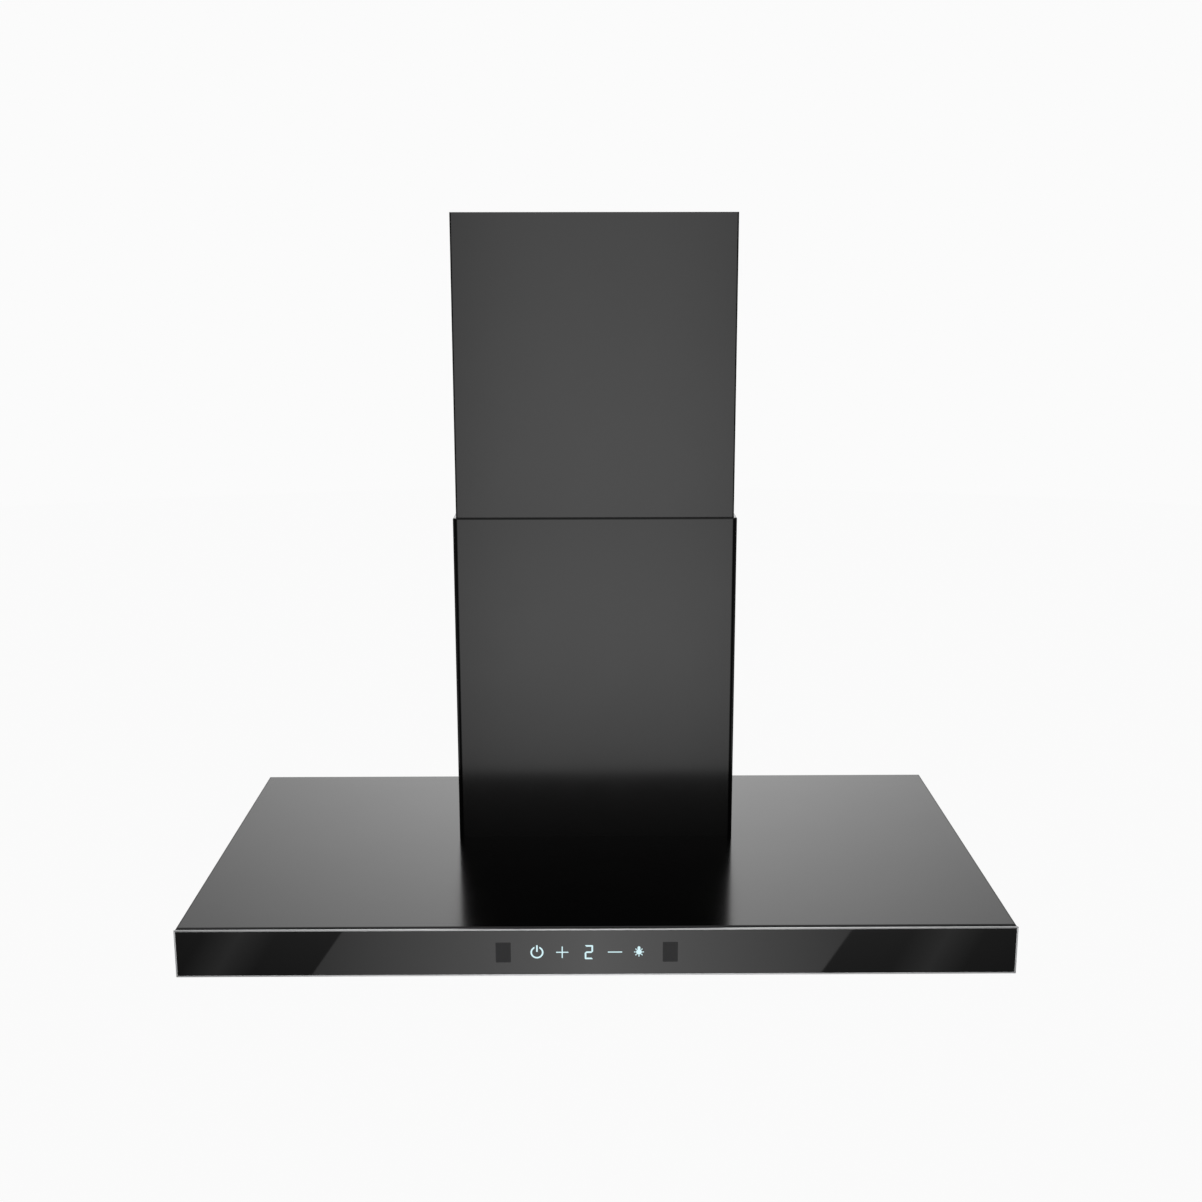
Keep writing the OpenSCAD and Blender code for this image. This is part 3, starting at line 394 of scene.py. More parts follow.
@dataclass
class Studio:
    """Pale backdrop and floor, soft light and the camera.

    Attributes:
        eye: Place of the camera.
        tilt: Camera's turn about X, in degrees from straight down.
        roll: Camera's turn about Y, in degrees.
        turn: Camera's turn about Z, in degrees.
        lens: Focal length in millimetres.
        sensor: Width of the sensor in millimetres.
        sight: Nearest and farthest distance that the camera sees.
        white: Brightness of the backdrop.
        gloom: Brightness of the room between the softboxes.
        floor_z: Height of the floor, which the hood hangs above.
        floor_radius: Radius of the floor.
        floor_drop: How much dimmer than the backdrop the floor's own light is.
        floor_base: How much of the light that falls on the floor comes back.
        panel: Light panel in front, whose mirror image lies across the glass.
        panel_glow: Brightness of the panel at x = 0 and at its reach.
        panel_reach: Distance from x = 0 at which the panel is dimmest.
        streaks: Soft streaks of light beside the panel.
        streak_glow: Brightness of a streak's middle line.
        strip_y: Place of the panel and the streaks in front of the wall.
        strip_z: Height of their upper and of their lower edge.
        softboxes: Patches of light round the object.
    """

    eye: Triple = (-0.0061, -2.0059, 0.7427)
    tilt: float = 77.575
    roll: float = 0.08
    turn: float = -0.438
    lens: float = 45.55
    sensor: float = 36.0
    sight: Pair = (0.05, 60.0)
    white: float = 0.965
    gloom: float = 0.06
    floor_z: float = -1.55
    floor_radius: float = 14.0
    floor_drop: float = 0.01
    floor_base: float = 0.012
    panel: Strip = ((-0.373, 0.456), (-0.504, 0.334))
    panel_glow: Pair = (2.3, 0.7)
    panel_reach: float = 0.47
    streaks: tuple[Strip, ...] = (((-0.6, -0.48), (-0.72, -0.6)), ((0.55, 0.67), (0.455, 0.575)))
    streak_glow: float = 0.26
    strip_y: float = -1.3
    strip_z: Pair = (-0.26, -0.45)
    softboxes: tuple[Softbox, ...] = (
        Softbox(1.0, 17.0, 1.78, 17.0),
        Softbox(172.0, 12.0, 1.2, 120.0),
        Softbox(186.0, 12.0, 1.2, 120.0),
        Softbox(172.0, 0.5, 0.92, 60.0),
        Softbox(186.0, 0.5, 0.92, 60.0),
        Softbox(171.5, -11.5, 1.26, 64.0),
        Softbox(186.5, -11.5, 1.26, 64.0),
        Softbox(90.0, -24.0, 0.9, 50.0),
        Softbox(-90.0, -24.0, 0.9, 50.0),
        Softbox(0.0, -90.0, 0.9, 9.0),
        Softbox(0.0, -58.0, 1.15, 7.0),
        Softbox(0.0, -28.0, 0.9, 16.0),
        Softbox(0.0, 90.0, 0.8, 6.0),
    )

    def build(self) -> None:
        """Builds the surroundings, the floor, the lights and the camera."""
        self._world()
        self._floor()
        self._glass_panel()
        self._glass_streaks()
        self._camera()
        bpy.context.scene.view_settings.view_transform = "Standard"
        LOG.info("studio ready")

    def _world(self) -> None:
        """Surroundings that are plain and pale to the eye and hold the softboxes for everything else."""
        world = bpy.data.worlds.new("studio")
        world.use_nodes = True
        world.node_tree.nodes.clear()
        sheet = NodeSheet(world.node_tree)
        ray = sheet.add("ShaderNodeTexCoord").outputs["Generated"]
        total = sheet.add("ShaderNodeValue")
        total.outputs[0].default_value = self.gloom
        light = total.outputs[0]
        for box in self.softboxes:
            nearness = sheet.add("ShaderNodeVectorMath", {0: ray, 1: box.direction()},
                                 operation="DOT_PRODUCT")
            away = sheet.math("SUBTRACT", nearness.outputs["Value"], 1.0)
            shape = sheet.math("EXPONENT", sheet.math("MULTIPLY", away, box.tightness))
            light = sheet.math("MULTIPLY_ADD", shape, box.strength, light)
        eye = sheet.add("ShaderNodeLightPath").outputs["Is Camera Ray"]
        shown = sheet.add("ShaderNodeMix", {0: eye, 2: light, 3: self.white}, data_type="FLOAT")
        background = sheet.add("ShaderNodeBackground", {"Strength": shown.outputs[0]})
        background.inputs["Color"].default_value = (1.0, 1.0, 1.0, 1.0)
        sheet.add("ShaderNodeOutputWorld", {0: background.outputs[0]})
        bpy.context.scene.world = world

    def _floor(self) -> None:
        """Plain pale floor that runs out into the backdrop."""
        shape = bmesh.new()
        bmesh.ops.create_circle(shape, cap_ends=True, segments=96, radius=self.floor_radius,
                                matrix=Matrix.Translation((0, 0, self.floor_z)))
        floor = place_mesh("floor", shape)
        floor.data.materials.append(lit_surface("pale_floor", self.white - self.floor_drop, self.floor_base))
        floor.visible_glossy = False

    def _glass_panel(self) -> None:
        """Slant-sided light panel, low in front, that dims towards its ends."""
        panel = self._strips("glass_panel", (self.panel,))
        material, sheet = blank_material("panel_light")
        place = sheet.add("ShaderNodeSeparateXYZ", {0: sheet.add("ShaderNodeTexCoord").outputs["Object"]})
        off = sheet.math("ABSOLUTE", place.outputs["X"])
        level = sheet.add("ShaderNodeMapRange", {"Value": off, 1: 0.0, 2: self.panel_reach,
                                                 3: self.panel_glow[0], 4: self.panel_glow[1]})
        glow = sheet.add("ShaderNodeEmission", {"Strength": level.outputs[0]})
        sheet.add("ShaderNodeOutputMaterial", {0: glow.outputs[0]})
        panel.data.materials.append(material)

    def _glass_streaks(self) -> None:
        """Soft streaks beside the panel, which add their light to what is behind them."""
        streaks = self._strips("glass_streaks", self.streaks)
        material, sheet = blank_material("streak_light")
        fade = sheet.add("ShaderNodeAttribute", attribute_name="fade")
        level = sheet.math("MULTIPLY", fade.outputs["Fac"], self.streak_glow)
        glow = sheet.add("ShaderNodeEmission", {"Strength": level})
        clear = sheet.add("ShaderNodeBsdfTransparent")
        both = sheet.add("ShaderNodeAddShader", {0: clear.outputs[0], 1: glow.outputs[0]})
        sheet.add("ShaderNodeOutputMaterial", {0: both.outputs[0]})
        streaks.data.materials.append(material)

    def _strips(self, name: str, strips: Sequence[Strip]) -> bpy.types.Object:
        """Builds flat slanted strips, whose attribute fade drops from 1 at their middle line to 0.

        Args:
            name: Name of the object.
            strips: The strips.

        Returns:
            The object, which only mirrors see.
        """
        shape = bmesh.new()
        fade = shape.verts.layers.float.new("fade")
        for strip in strips:
            columns = []
            for share in (0.0, 0.5, 1.0):
                column = []
                for (left, right), z in zip(strip, self.strip_z):
                    corner = shape.verts.new(((1 - share) * left + share * right, self.strip_y, z))
                    corner[fade] = 1.0 - abs(2 * share - 1.0)
                    column.append(corner)
                columns.append(column)
            for first, last in zip(columns, columns[1:]):
                shape.faces.new((first[0], last[0], last[1], first[1]))
        panel = place_mesh(name, shape)
        panel.visible_camera = False
        panel.visible_shadow = False
        return panel

    def _camera(self) -> None:
        """Camera at the chosen viewing angle."""
        data = bpy.data.cameras.new("camera")
        data.lens, data.sensor_width = self.lens, self.sensor
        data.clip_start, data.clip_end = self.sight
        camera = bpy.data.objects.new("camera", data)
        camera.location = self.eye
        camera.rotation_euler = tuple(math.radians(angle) for angle in (self.tilt, self.roll, self.turn))
        bpy.context.scene.collection.objects.link(camera)
        bpy.context.scene.camera = camera


# ---------------------------------------------------------------- mesh building


def rounded(path: Sequence[Sequence[float]], radius: float, steps: int = 4) -> list[Vector]:
    """Rounds the corners of an open path.

    Args:
        path: Points of two or three numbers.
        radius: Length that each corner gives up on both its sides.
        steps: Pieces in each rounded corner.

    Returns:
        The points of the rounded path.
    """
    points = [Vector(point) for point in path]
    result = [points[0]]
    for before, corner, after in zip(points, points[1:], points[2:]):
        reach = min(radius, (before - corner).length / 2, (after - corner).length / 2)
        first = corner + (before - corner).normalized() * reach
        last = corner + (after - corner).normalized() * reach
        for i in range(steps + 1):
            t = i / steps
            result.append(first * (1 - t) ** 2 + corner * 2 * t * (1 - t) + last * t * t)
    return result + [points[-1]]


def strip_outline(path: Sequence[Sequence[float]], thickness: float, bend: float) -> list[Vector]:
    """Outline of sheet folded along an open path in a plane.

    Args:
        path: Middle line of the sheet, as pairs of numbers.
        thickness: Thickness of the sheet.
        bend: Size of its bends.

    Returns:
        The closed outline.
    """
    line = rounded(path, bend)
    sides: tuple[list[Vector], list[Vector]] = ([], [])
    for i, point in enumerate(line):
        along = (line[min(i + 1, len(line) - 1)] - line[max(i - 1, 0)]).normalized()
        across = Vector((-along.y, along.x)) * thickness / 2
        sides[0].append(point + across)
        sides[1].append(point - across)
    return sides[0] + sides[1][::-1]


class Shape:
    """A closed mesh put together from blocks, turned forms, swept wires and folded sheet."""

    def __init__(self) -> None:
        """Starts empty."""
        self.mesh = bmesh.new()

    def block(self, low: Sequence[float], high: Sequence[float], edge: float = 0.3 * MM) -> "Shape":
        """Adds a box with rounded edges.

        Args:
            low: Lowest corner.
            high: Highest corner.
            edge: Radius of its edges.

        Returns:
            This shape.
        """
        low, high = Vector(low), Vector(high)
        place = Matrix.Translation((low + high) / 2) @ Matrix.Diagonal((*(high - low), 1.0))
        made = bmesh.ops.create_cube(self.mesh, size=1.0, matrix=place)
        self._soften(made["verts"], edge)
        return self

    def _soften(self, corners: Iterable[bmesh.types.BMVert], edge: float) -> None:
        """Rounds every edge that meets the given corners.

        Args:
            corners: Points of the mesh.
            edge: Radius of the rounded edges, or 0 to leave them sharp.
        """
        if edge > 0:
            edges = list({e for corner in corners for e in corner.link_edges})
            bmesh.ops.bevel(self.mesh, geom=edges, offset=edge, segments=2, profile=0.7, affect="EDGES",
                            clamp_overlap=True)

    def turned(self, profile: Sequence[Sequence[float]], place: Matrix = Matrix(), segments: int = 40,
               ring: bool = False) -> "Shape":
        """Adds a form turned about the Z axis.

        Args:
            profile: Radius and height of each point, from pole to pole, or round a ring's section.
            place: Where the form goes.
            segments: Faces round the axis.
            ring: Whether the profile closes on itself.

        Returns:
            This shape.
        """
        loops = []
        for radius, height in profile:
            count = 1 if radius < SAME_POINT else segments
            turns = [2 * math.pi * k / segments for k in range(count)]
            points = [Vector((radius * math.cos(a), radius * math.sin(a), height)) for a in turns]
            loops.append([self.mesh.verts.new(place @ point) for point in points])
        for low, high in list(zip(loops, loops[1:])) + ([(loops[-1], loops[0])] if ring else []):
            for k in range(segments):
                n = (k + 1) % segments
                corners = (low[k % len(low)], low[n % len(low)], high[n % len(high)], high[k % len(high)])
                self.mesh.faces.new(list(dict.fromkeys(corners)))
        return self

    def swept(self, path: Sequence[Sequence[float]], radius: float, sides: int = 10) -> "Shape":
        """Adds a round wire along a path.

        Args:
            path: Points of its middle line.
            radius: Radius of the wire.
            sides: Faces round it.

        Returns:
            This shape.
        """
        points = [Vector(point) for point in path]
        across = (points[1] - points[0]).orthogonal().normalized()
        loops = []
        for i, point in enumerate(points):
            along = (points[min(i + 1, len(points) - 1)] - points[max(i - 1, 0)]).normalized()
            across = (across - along * across.dot(along)).normalized()
            other = along.cross(across)
            loops.append([self.mesh.verts.new(point + radius * (across * math.cos(a) + other * math.sin(a)))
                          for a in (2 * math.pi * k / sides for k in range(sides))])
        for low, high in zip(loops, loops[1:]):
            for k in range(sides):
                self.mesh.faces.new((low[k], low[(k + 1) % sides], high[(k + 1) % sides], high[k]))
        self.mesh.faces.new(loops[0][::-1])
        self.mesh.faces.new(loops[-1])
        return self

    def extruded(self, outline: Sequence[Sequence[float]], place: Matrix, depth: float,
                 edge: float = 0.0) -> "Shape":
        """Adds a flat outline raised along its own Z.

        Args:
            outline: Closed outline, as pairs of numbers.
            place: Where the outline's plane goes.
            depth: How far it is raised.
            edge: Radius of the edges.

        Returns:
            This shape.
        """
        loops = [[self.mesh.verts.new(place @ Vector((u, v, w))) for u, v in outline] for w in (0.0, depth)]
        count = len(outline)
        for k in range(count):
            n = (k + 1) % count
            self.mesh.faces.new((loops[0][k], loops[0][n], loops[1][n], loops[1][k]))
        self.mesh.faces.new(loops[0][::-1])
        self.mesh.faces.new(loops[1])
        self._soften(loops[0] + loops[1], edge)
        return self

    def object(self, name: str, sharp: float = SHARP) -> bpy.types.Object:
        """Turns the shape into an object.

        Args:
            name: Name of the object.
            sharp: Angle in degrees above which an edge stays sharp.

        Returns:
            The object, at the origin.
        """
        bmesh.ops.recalc_face_normals(self.mesh, faces=self.mesh.faces[:])
        made = place_mesh(name, self.mesh)
        smooth(made, sharp)
        return made


def smooth(piece: bpy.types.Object, sharp: float) -> None:
    """Shades a piece smooth, apart from edges sharper than an angle in degrees."""
    piece.data.polygons.foreach_set("use_smooth", [True] * len(piece.data.polygons))
    piece.data.set_sharp_from_angle(angle=math.radians(sharp))


# ---------------------------------------------------------------- repeats by Geometry Nodes


class Repeat:
    """A geometry tree that sets out copies of a unit, with named inputs for its sizes."""

    def __init__(self, name: str) -> None:
        """Makes an empty tree.

        Args:
            name: Name of the tree.
        """
        self.tree = bpy.data.node_groups.new(name, "GeometryNodeTree")
        for flow in ("INPUT", "OUTPUT"):
            self.tree.interface.new_socket("Geometry", in_out=flow, socket_type="NodeSocketGeometry")
        self.sheet = NodeSheet(self.tree)
        self.source = self.sheet.add("NodeGroupInput")

    def size(self, name: str, kind: str) -> bpy.types.NodeSocket:
        """Adds a named input.

        Args:
            name: Name of the input.
            kind: Float, Int, Vector, Object or Material.

        Returns:
            The socket that gives its value inside the tree.
        """
        self.tree.interface.new_socket(name, in_out="INPUT", socket_type=f"NodeSocket{kind}")
        return self.source.outputs[name]

    def close(self, copies: bpy.types.NodeSocket) -> "Repeat":
        """Ends the tree: real copies, then their finish.

        Args:
            copies: Geometry to hand on.

        Returns:
            This repeat.
        """
        real = self.sheet.add("GeometryNodeRealizeInstances", {0: copies})
        dressed = self.sheet.add("GeometryNodeSetMaterial", {
            "Geometry": real.outputs[0], "Material": self.size("Finish", "Material")})
        self.sheet.add("NodeGroupOutput", {0: dressed.outputs[0]})
        return self

    def apply(self, host: bpy.types.Object, values: dict[str, object]) -> bpy.types.Object:
        """Runs the tree on an object and keeps the result as its plain mesh.

        Args:
            host: Object whose mesh the tree reads.
            values: Values of the named inputs.

        Returns:
            The same object.
        """
        modifier = host.modifiers.new(self.tree.name, "NODES")
        modifier.node_group = self.tree
        for item in self.tree.interface.items_tree:
            if item.in_out == "INPUT" and item.name in values:
                modifier[item.identifier] = values[item.name]
        graph = bpy.context.evaluated_depsgraph_get()
        made = bpy.data.meshes.new_from_object(host.evaluated_get(graph))
        host.modifiers.remove(modifier)
        host.data = made
        smooth(host, SHARP)
        return host


class Repeats:
    """The geometry trees that the sub-assemblies share."""

    def __init__(self) -> None:
        """Builds every tree."""
        self.row = self._row()
        self.ring = self._ring()
        self.spots = self._spots()
        self.coil = self._coil()

    @staticmethod
    def _row() -> Repeat:
        """Copies the host along a straight line.

        Returns:
            The tree, with the inputs Count and Step.
        """
        row = Repeat("row_of_copies")
        line = row.sheet.add("GeometryNodeMeshLine", {
            "Count": row.size("Count", "Int"), "Offset": row.size("Step", "Vector")})
        copies = row.sheet.add("GeometryNodeInstanceOnPoints", {
            "Points": line.outputs[0], "Instance": row.source.outputs["Geometry"]})
        return row.close(copies.outputs[0])

    @staticmethod
    def _ring() -> Repeat:
        """Copies the host round Z, then turns and moves the whole ring.

        Returns:
            The tree, with the inputs Count, Sweep, Turn and Centre.
        """
        ring = Repeat("ring_of_copies")
        sheet = ring.sheet
        count = ring.size("Count", "Int")
        points = sheet.add("GeometryNodePoints", {"Count": count})
        share = sheet.math("DIVIDE", sheet.add("GeometryNodeInputIndex").outputs[0], count)
        angle = sheet.math("MULTIPLY", share, ring.size("Sweep", "Float"))
        euler = sheet.add("ShaderNodeCombineXYZ", {"Z": angle})
        turn = sheet.add("FunctionNodeEulerToRotation", {0: euler.outputs[0]})
        copies = sheet.add("GeometryNodeInstanceOnPoints", {
            "Points": points.outputs[0], "Instance": ring.source.outputs["Geometry"],
            "Rotation": turn.outputs[0]})
        lean = sheet.add("FunctionNodeEulerToRotation", {0: ring.size("Turn", "Vector")})
        placed = sheet.add("GeometryNodeTransform", {
            "Geometry": copies.outputs[0], "Rotation": lean.outputs[0],
            "Translation": ring.size("Centre", "Vector")})
        return ring.close(placed.outputs[0])

    @staticmethod
    def _spots() -> Repeat:
        """Copies a unit onto the host's points, each with its Z along the point's axis.

        Returns:
            The tree, with the input Unit.
        """
        spots = Repeat("copies_on_spots")
        sheet = spots.sheet
        unit = sheet.add("GeometryNodeObjectInfo", {"Object": spots.size("Unit", "Object")})
        axis = sheet.add("GeometryNodeInputNamedAttribute", {"Name": "axis"}, data_type="FLOAT_VECTOR")
        turn = sheet.add("FunctionNodeAlignRotationToVector", {"Vector": axis.outputs[0]}, axis="Z")
        copies = sheet.add("GeometryNodeInstanceOnPoints", {
            "Points": spots.source.outputs["Geometry"], "Instance": unit.outputs["Geometry"],
            "Rotation": turn.outputs[0]})
        return spots.close(copies.outputs[0])

    @staticmethod
    def _coil() -> Repeat:
        """Winds round wire into a coil along Z, then turns and moves it; the host isn't read.

        Returns:
            The tree, with the inputs Radius, Turns, Length, Wire, Turn and Centre.
        """
        coil = Repeat("wound_coil")
        sheet = coil.sheet
        radius = coil.size("Radius", "Float")
        turns = coil.size("Turns", "Float")
        spiral = sheet.add("GeometryNodeCurveSpiral", {
            "Resolution": 20, "Rotations": turns, "Start Radius": radius, "End Radius": radius,
            "Height": coil.size("Length", "Float")})
        wire = sheet.add("GeometryNodeCurvePrimitiveCircle", {
            "Resolution": 8, "Radius": coil.size("Wire", "Float")})
        swept = sheet.add("GeometryNodeCurveToMesh", {
            "Curve": spiral.outputs[0], "Profile Curve": wire.outputs[0], "Fill Caps": True})
        lean = sheet.add("FunctionNodeEulerToRotation", {0: coil.size("Turn", "Vector")})
        placed = sheet.add("GeometryNodeTransform", {
            "Geometry": swept.outputs[0], "Rotation": lean.outputs[0],
            "Translation": coil.size("Centre", "Vector")})
        return coil.close(placed.outputs[0])


@dataclass
class Workshop:
    """What every sub-assembly needs to build and hand over its pieces.

    Attributes:
        wardrobe: Finishes.
        repeats: Geometry trees.
        made: Names of the pieces handed over so far.
    """

    wardrobe: Wardrobe
    repeats: Repeats
    made: list[str] = field(default_factory=list)

    def hand_over(self, piece: bpy.types.Object, body: Body, slot: str,
                  stands_for: Sequence[str] = ()) -> None:
        """Dresses a finished piece and gives it its body, slot and the CAD nodes it stands for.

        Args:
            piece: The piece's object.
            body: Body it moves with.
            slot: Material slot and finish.
            stands_for: CAD nodes that it replaces.
        """
        self.wardrobe.dress(piece, slot)
        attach(piece, body.value)
        if stands_for:
            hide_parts(*stands_for)
        self.made.append(piece.name)
        LOG.info("built %s: %d faces, rides on %s", piece.name, len(piece.data.polygons), body.value)

    def row(self, unit: bpy.types.Object, count: int, step: Sequence[float]) -> bpy.types.Object:
        """Repeats a unit along a line, by its geometry tree."""
        return self.repeats.row.apply(unit, {"Count": count, "Step": list(step)})

    def ring(self, unit: bpy.types.Object, count: int, centre: Sequence[float],
             turn: Sequence[float] = (0.0, 0.0, 0.0), sweep: float = 2 * math.pi) -> bpy.types.Object:
        """Repeats a unit round an axis, by its geometry tree."""
        return self.repeats.ring.apply(unit, {"Count": count, "Centre": list(centre), "Turn": list(turn),
                                              "Sweep": sweep})

    def spots(self, name: str, unit: bpy.types.Object,
              places: Sequence[tuple[Sequence[float], Sequence[float]]]) -> bpy.types.Object:
        """Repeats a unit on given places.

        Args:
            name: Name of the piece.
            unit: Object to repeat, which is removed afterwards.
            places: Point and axis of each copy.

        Returns:
            The piece.
        """
        mesh = bpy.data.meshes.new(name)
        mesh.from_pydata([tuple(point) for point, _ in places], [], [])
        axis = mesh.attributes.new("axis", "FLOAT_VECTOR", "POINT")
        axis.data.foreach_set("vector", [value for _, direction in places for value in direction])
        piece = bpy.data.objects.new(name, mesh)
        bpy.context.scene.collection.objects.link(piece)
        self.repeats.spots.apply(piece, {"Unit": unit})
        bpy.data.objects.remove(unit)
        return piece


def frame_at(origin: Sequence[float], u: Sequence[float], v: Sequence[float], w: Sequence[float]) -> Matrix:
    """Makes a placement.

    Args:
        origin: Where its origin lies.
        u: Direction of its X.
        v: Direction of its Y.
        w: Direction of its Z.

    Returns:
        The placement.
    """
    place = Matrix.Translation(Vector(origin))
    for column, axis in enumerate((u, v, w)):
        for row in range(3):
            place[row][column] = axis[row]
    return place


def carve(piece: bpy.types.Object, cutter: bpy.types.Object) -> bpy.types.Object:
    """Cuts one closed shape out of another.

    Args:
        piece: Shape that is cut.
        cutter: Shape that is taken away, and removed afterwards.

    Returns:
        The cut piece.
    """
    modifier = piece.modifiers.new("cut", "BOOLEAN")
    modifier.operation, modifier.object, modifier.solver = "DIFFERENCE", cutter, "EXACT"
    graph = bpy.context.evaluated_depsgraph_get()
    made = bpy.data.meshes.new_from_object(piece.evaluated_get(graph))
    piece.modifiers.remove(modifier)
    piece.data = made
    bpy.data.objects.remove(cutter)
    smooth(piece, SHARP)
    return piece


def round_rect(width: float, height: float, radius: float, steps: int = 5) -> list[tuple[float, float]]:
    """Draws a centred rectangle with round corners.

    Args:
        width: Its width.
        height: Its height.
        radius: Radius of the corners.
        steps: Pieces in each corner.

    Returns:
        The closed outline.
    """
    outline = []
    for quarter, (sx, sy) in enumerate(((1, 1), (-1, 1), (-1, -1), (1, -1))):
        for i in range(steps + 1):
            a = math.pi / 2 * (quarter + i / steps)
            outline.append((sx * (width / 2 - radius) + radius * math.cos(a),
                            sy * (height / 2 - radius) + radius * math.sin(a)))
    return outline


def right_angle(steps: int) -> list[float]:
    """Angles from 0 to a right angle, in equal steps."""
    return [math.pi / 2 * i / steps for i in range(steps + 1)]


# ---------------------------------------------------------------- chimney covers


@dataclass
class ChimneyCovers:
    """Two folded covers that slide inside each other, open towards the wall.

    Attributes:
        shop: Workshop that the pieces are handed over to.
        sheet: Thickness of the steel.
        returns: Width of the flanges folded in beside the wall.
        lower_bend: Outer radius of the lower cover's upright folds.
        upper_bend: Outer radius of the upper cover's upright folds.
        hem: Outer radius of the fold round the lower cover's top rim.
        gap: Gap between the rim and the upper cover.
        sharp: Angle in degrees above which an edge of a cover stays sharp.
    """

    shop: Workshop
    sheet: float = 1.0 * MM
    returns: float = 12.0 * MM
    lower_bend: float = 6.0 * MM
    upper_bend: float = 2.0 * MM
    hem: float = 1.8 * MM
    gap: float = 0.4 * MM
    sharp: float = 25.0

    def build(self) -> None:
        """Builds both covers."""
        low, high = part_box("lower_chimney")
        inner_low, inner_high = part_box("upper_chimney")
        half, top = self.sheet / 2, high.z
        bend = [(half - self.hem * (1 - math.cos(a)), top - self.hem * (1 - math.sin(a)))
                for a in right_angle(6)]
        rim = (inner_high.x + self.gap, inner_low.y - self.gap)
        section = [(half, low.z), *bend, (None, top), (None, top - self.sheet), (-half, top - self.hem),
                   (-half, low.z)]
        lower = self._folded("lower_cover", self._plan(low, high, self.lower_bend), section, rim)
        self.shop.hand_over(lower, Body.HOOD, "black_enamel", ["lower_chimney"])
        section = [(half, inner_low.z), (half, inner_high.z), (-half, inner_high.z), (-half, inner_low.z)]
        upper = self._folded("upper_cover", self._plan(inner_low, inner_high, self.upper_bend), section, rim)
        self.shop.hand_over(upper, Body.UPPER, "black_enamel", ["upper_chimney"])

    def _plan(self, low: Vector, high: Vector, bend: float) -> list[Vector]:
        """Draws the middle line of a cover's sheet, from one return round the front to the other.

        Args:
            low: Lowest corner of the cover's box.
            high: Highest corner of the cover's box.
            bend: Outer radius of the upright folds.

        Returns:
            The line in plan.
        """
        half = self.sheet / 2
        x, front, back = high.x - half, low.y + half, high.y - half
        middle = bend - half
        arc = [(x - middle + middle * math.cos(a), front + middle - middle * math.sin(a))
               for a in right_angle(10)]
        right = [(x + half - self.returns, back), (x - half, back), (x, back - half), *arc]
        return [Vector(p) for p in right] + [Vector((-p[0], p[1])) for p in reversed(right)]

    def _folded(self, name: str, plan: Sequence[Vector], section: Sequence[tuple[Optional[float], float]],
                rim: Pair) -> bpy.types.Object:
        """Leads a section along the plan.

        Args:
            name: Name of the piece.
            plan: Middle line in plan.
            section: Outward distance and height of each point; a distance of None reaches to the rim.
            rim: Half width and front of the opening inside the rim.

        Returns:
            The piece.
        """
        shape = Shape()
        loops = []
        for i, point in enumerate(plan):
            along = (plan[min(i + 1, len(plan) - 1)] - plan[max(i - 1, 0)]).normalized()
            out = Vector((-along.y, along.x))
            loop = []
            for distance, height in section:
                spot = point + out * (distance or 0.0)
                if distance is None:
                    spot = Vector((max(-rim[0], min(rim[0], point.x)), max(rim[1], point.y - self.sheet / 2)))
                loop.append(shape.mesh.verts.new((spot.x, spot.y, height)))
            loops.append(loop)
        count = len(section)
        for first, last in zip(loops, loops[1:]):
            for k in range(count):
                n = (k + 1) % count
                shape.mesh.faces.new((first[k], first[n], last[n], last[k]))
        shape.mesh.faces.new(loops[0])
        shape.mesh.faces.new(loops[-1][::-1])
        bmesh.ops.remove_doubles(shape.mesh, verts=shape.mesh.verts[:], dist=SAME_POINT)
        return shape.object(name, self.sharp)


# ---------------------------------------------------------------- glass front


@dataclass
class GlassEdging:
    """Mitred aluminium bars round the glass.

    Attributes:
        shop: Workshop that the pieces are handed over to.
        face: Width of a bar's face.
        joint: Gap of the mitre joints.
        edge: Radius of the bars' edges.
    """

    shop: Workshop
    face: float = 1.6 * MM
    joint: float = 0.03 * MM
    edge: float = 0.2 * MM

    def build(self) -> None:
        """Builds the four bars as one piece."""
        low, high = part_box("front_trim")
        shape = Shape()
        depth = high.y - low.y
        place = frame_at((0, low.y, 0), X, Z, Y)
        f, j = self.face, self.joint
        for z, side in ((low.z, 1), (high.z, -1)):
            shape.extruded([(low.x + j, z), (high.x - j, z), (high.x - f - j, z + side * f),
                            (low.x + f + j, z + side * f)], place, depth, self.edge)
        for x, side in ((low.x, 1), (high.x, -1)):
            shape.extruded([(x, low.z + j), (x + side * f, low.z + f + j), (x + side * f, high.z - f - j),
                            (x, high.z - j)], place, depth, self.edge)
        self.shop.hand_over(shape.object("glass_edging"), Body.HOOD, "trim_aluminium", ["front_trim"])


# ---------------------------------------------------------------- screws and rivets


def solids(piece: bpy.types.Object) -> list[list[Vector]]:
    """Finds the separate solids of a piece, whose mesh is left alone.

    Args:
        piece: The piece.

    Returns:
        The corners of each solid.
    """
    merged = bmesh.new()
    merged.from_mesh(piece.data)
    bmesh.ops.remove_doubles(merged, verts=merged.verts[:], dist=SAME_POINT)
    found, seen = [], set()
    for start in merged.verts:
        if start in seen:
            continue
        corners, queue = [], [start]
        seen.add(start)
        while queue:
            corner = queue.pop()
            corners.append(corner.co.copy())
            for edge in corner.link_edges:
                other = edge.other_vert(corner)
                if other not in seen:
                    seen.add(other)
                    queue.append(other)
        found.append(corners)
    merged.free()
    return found


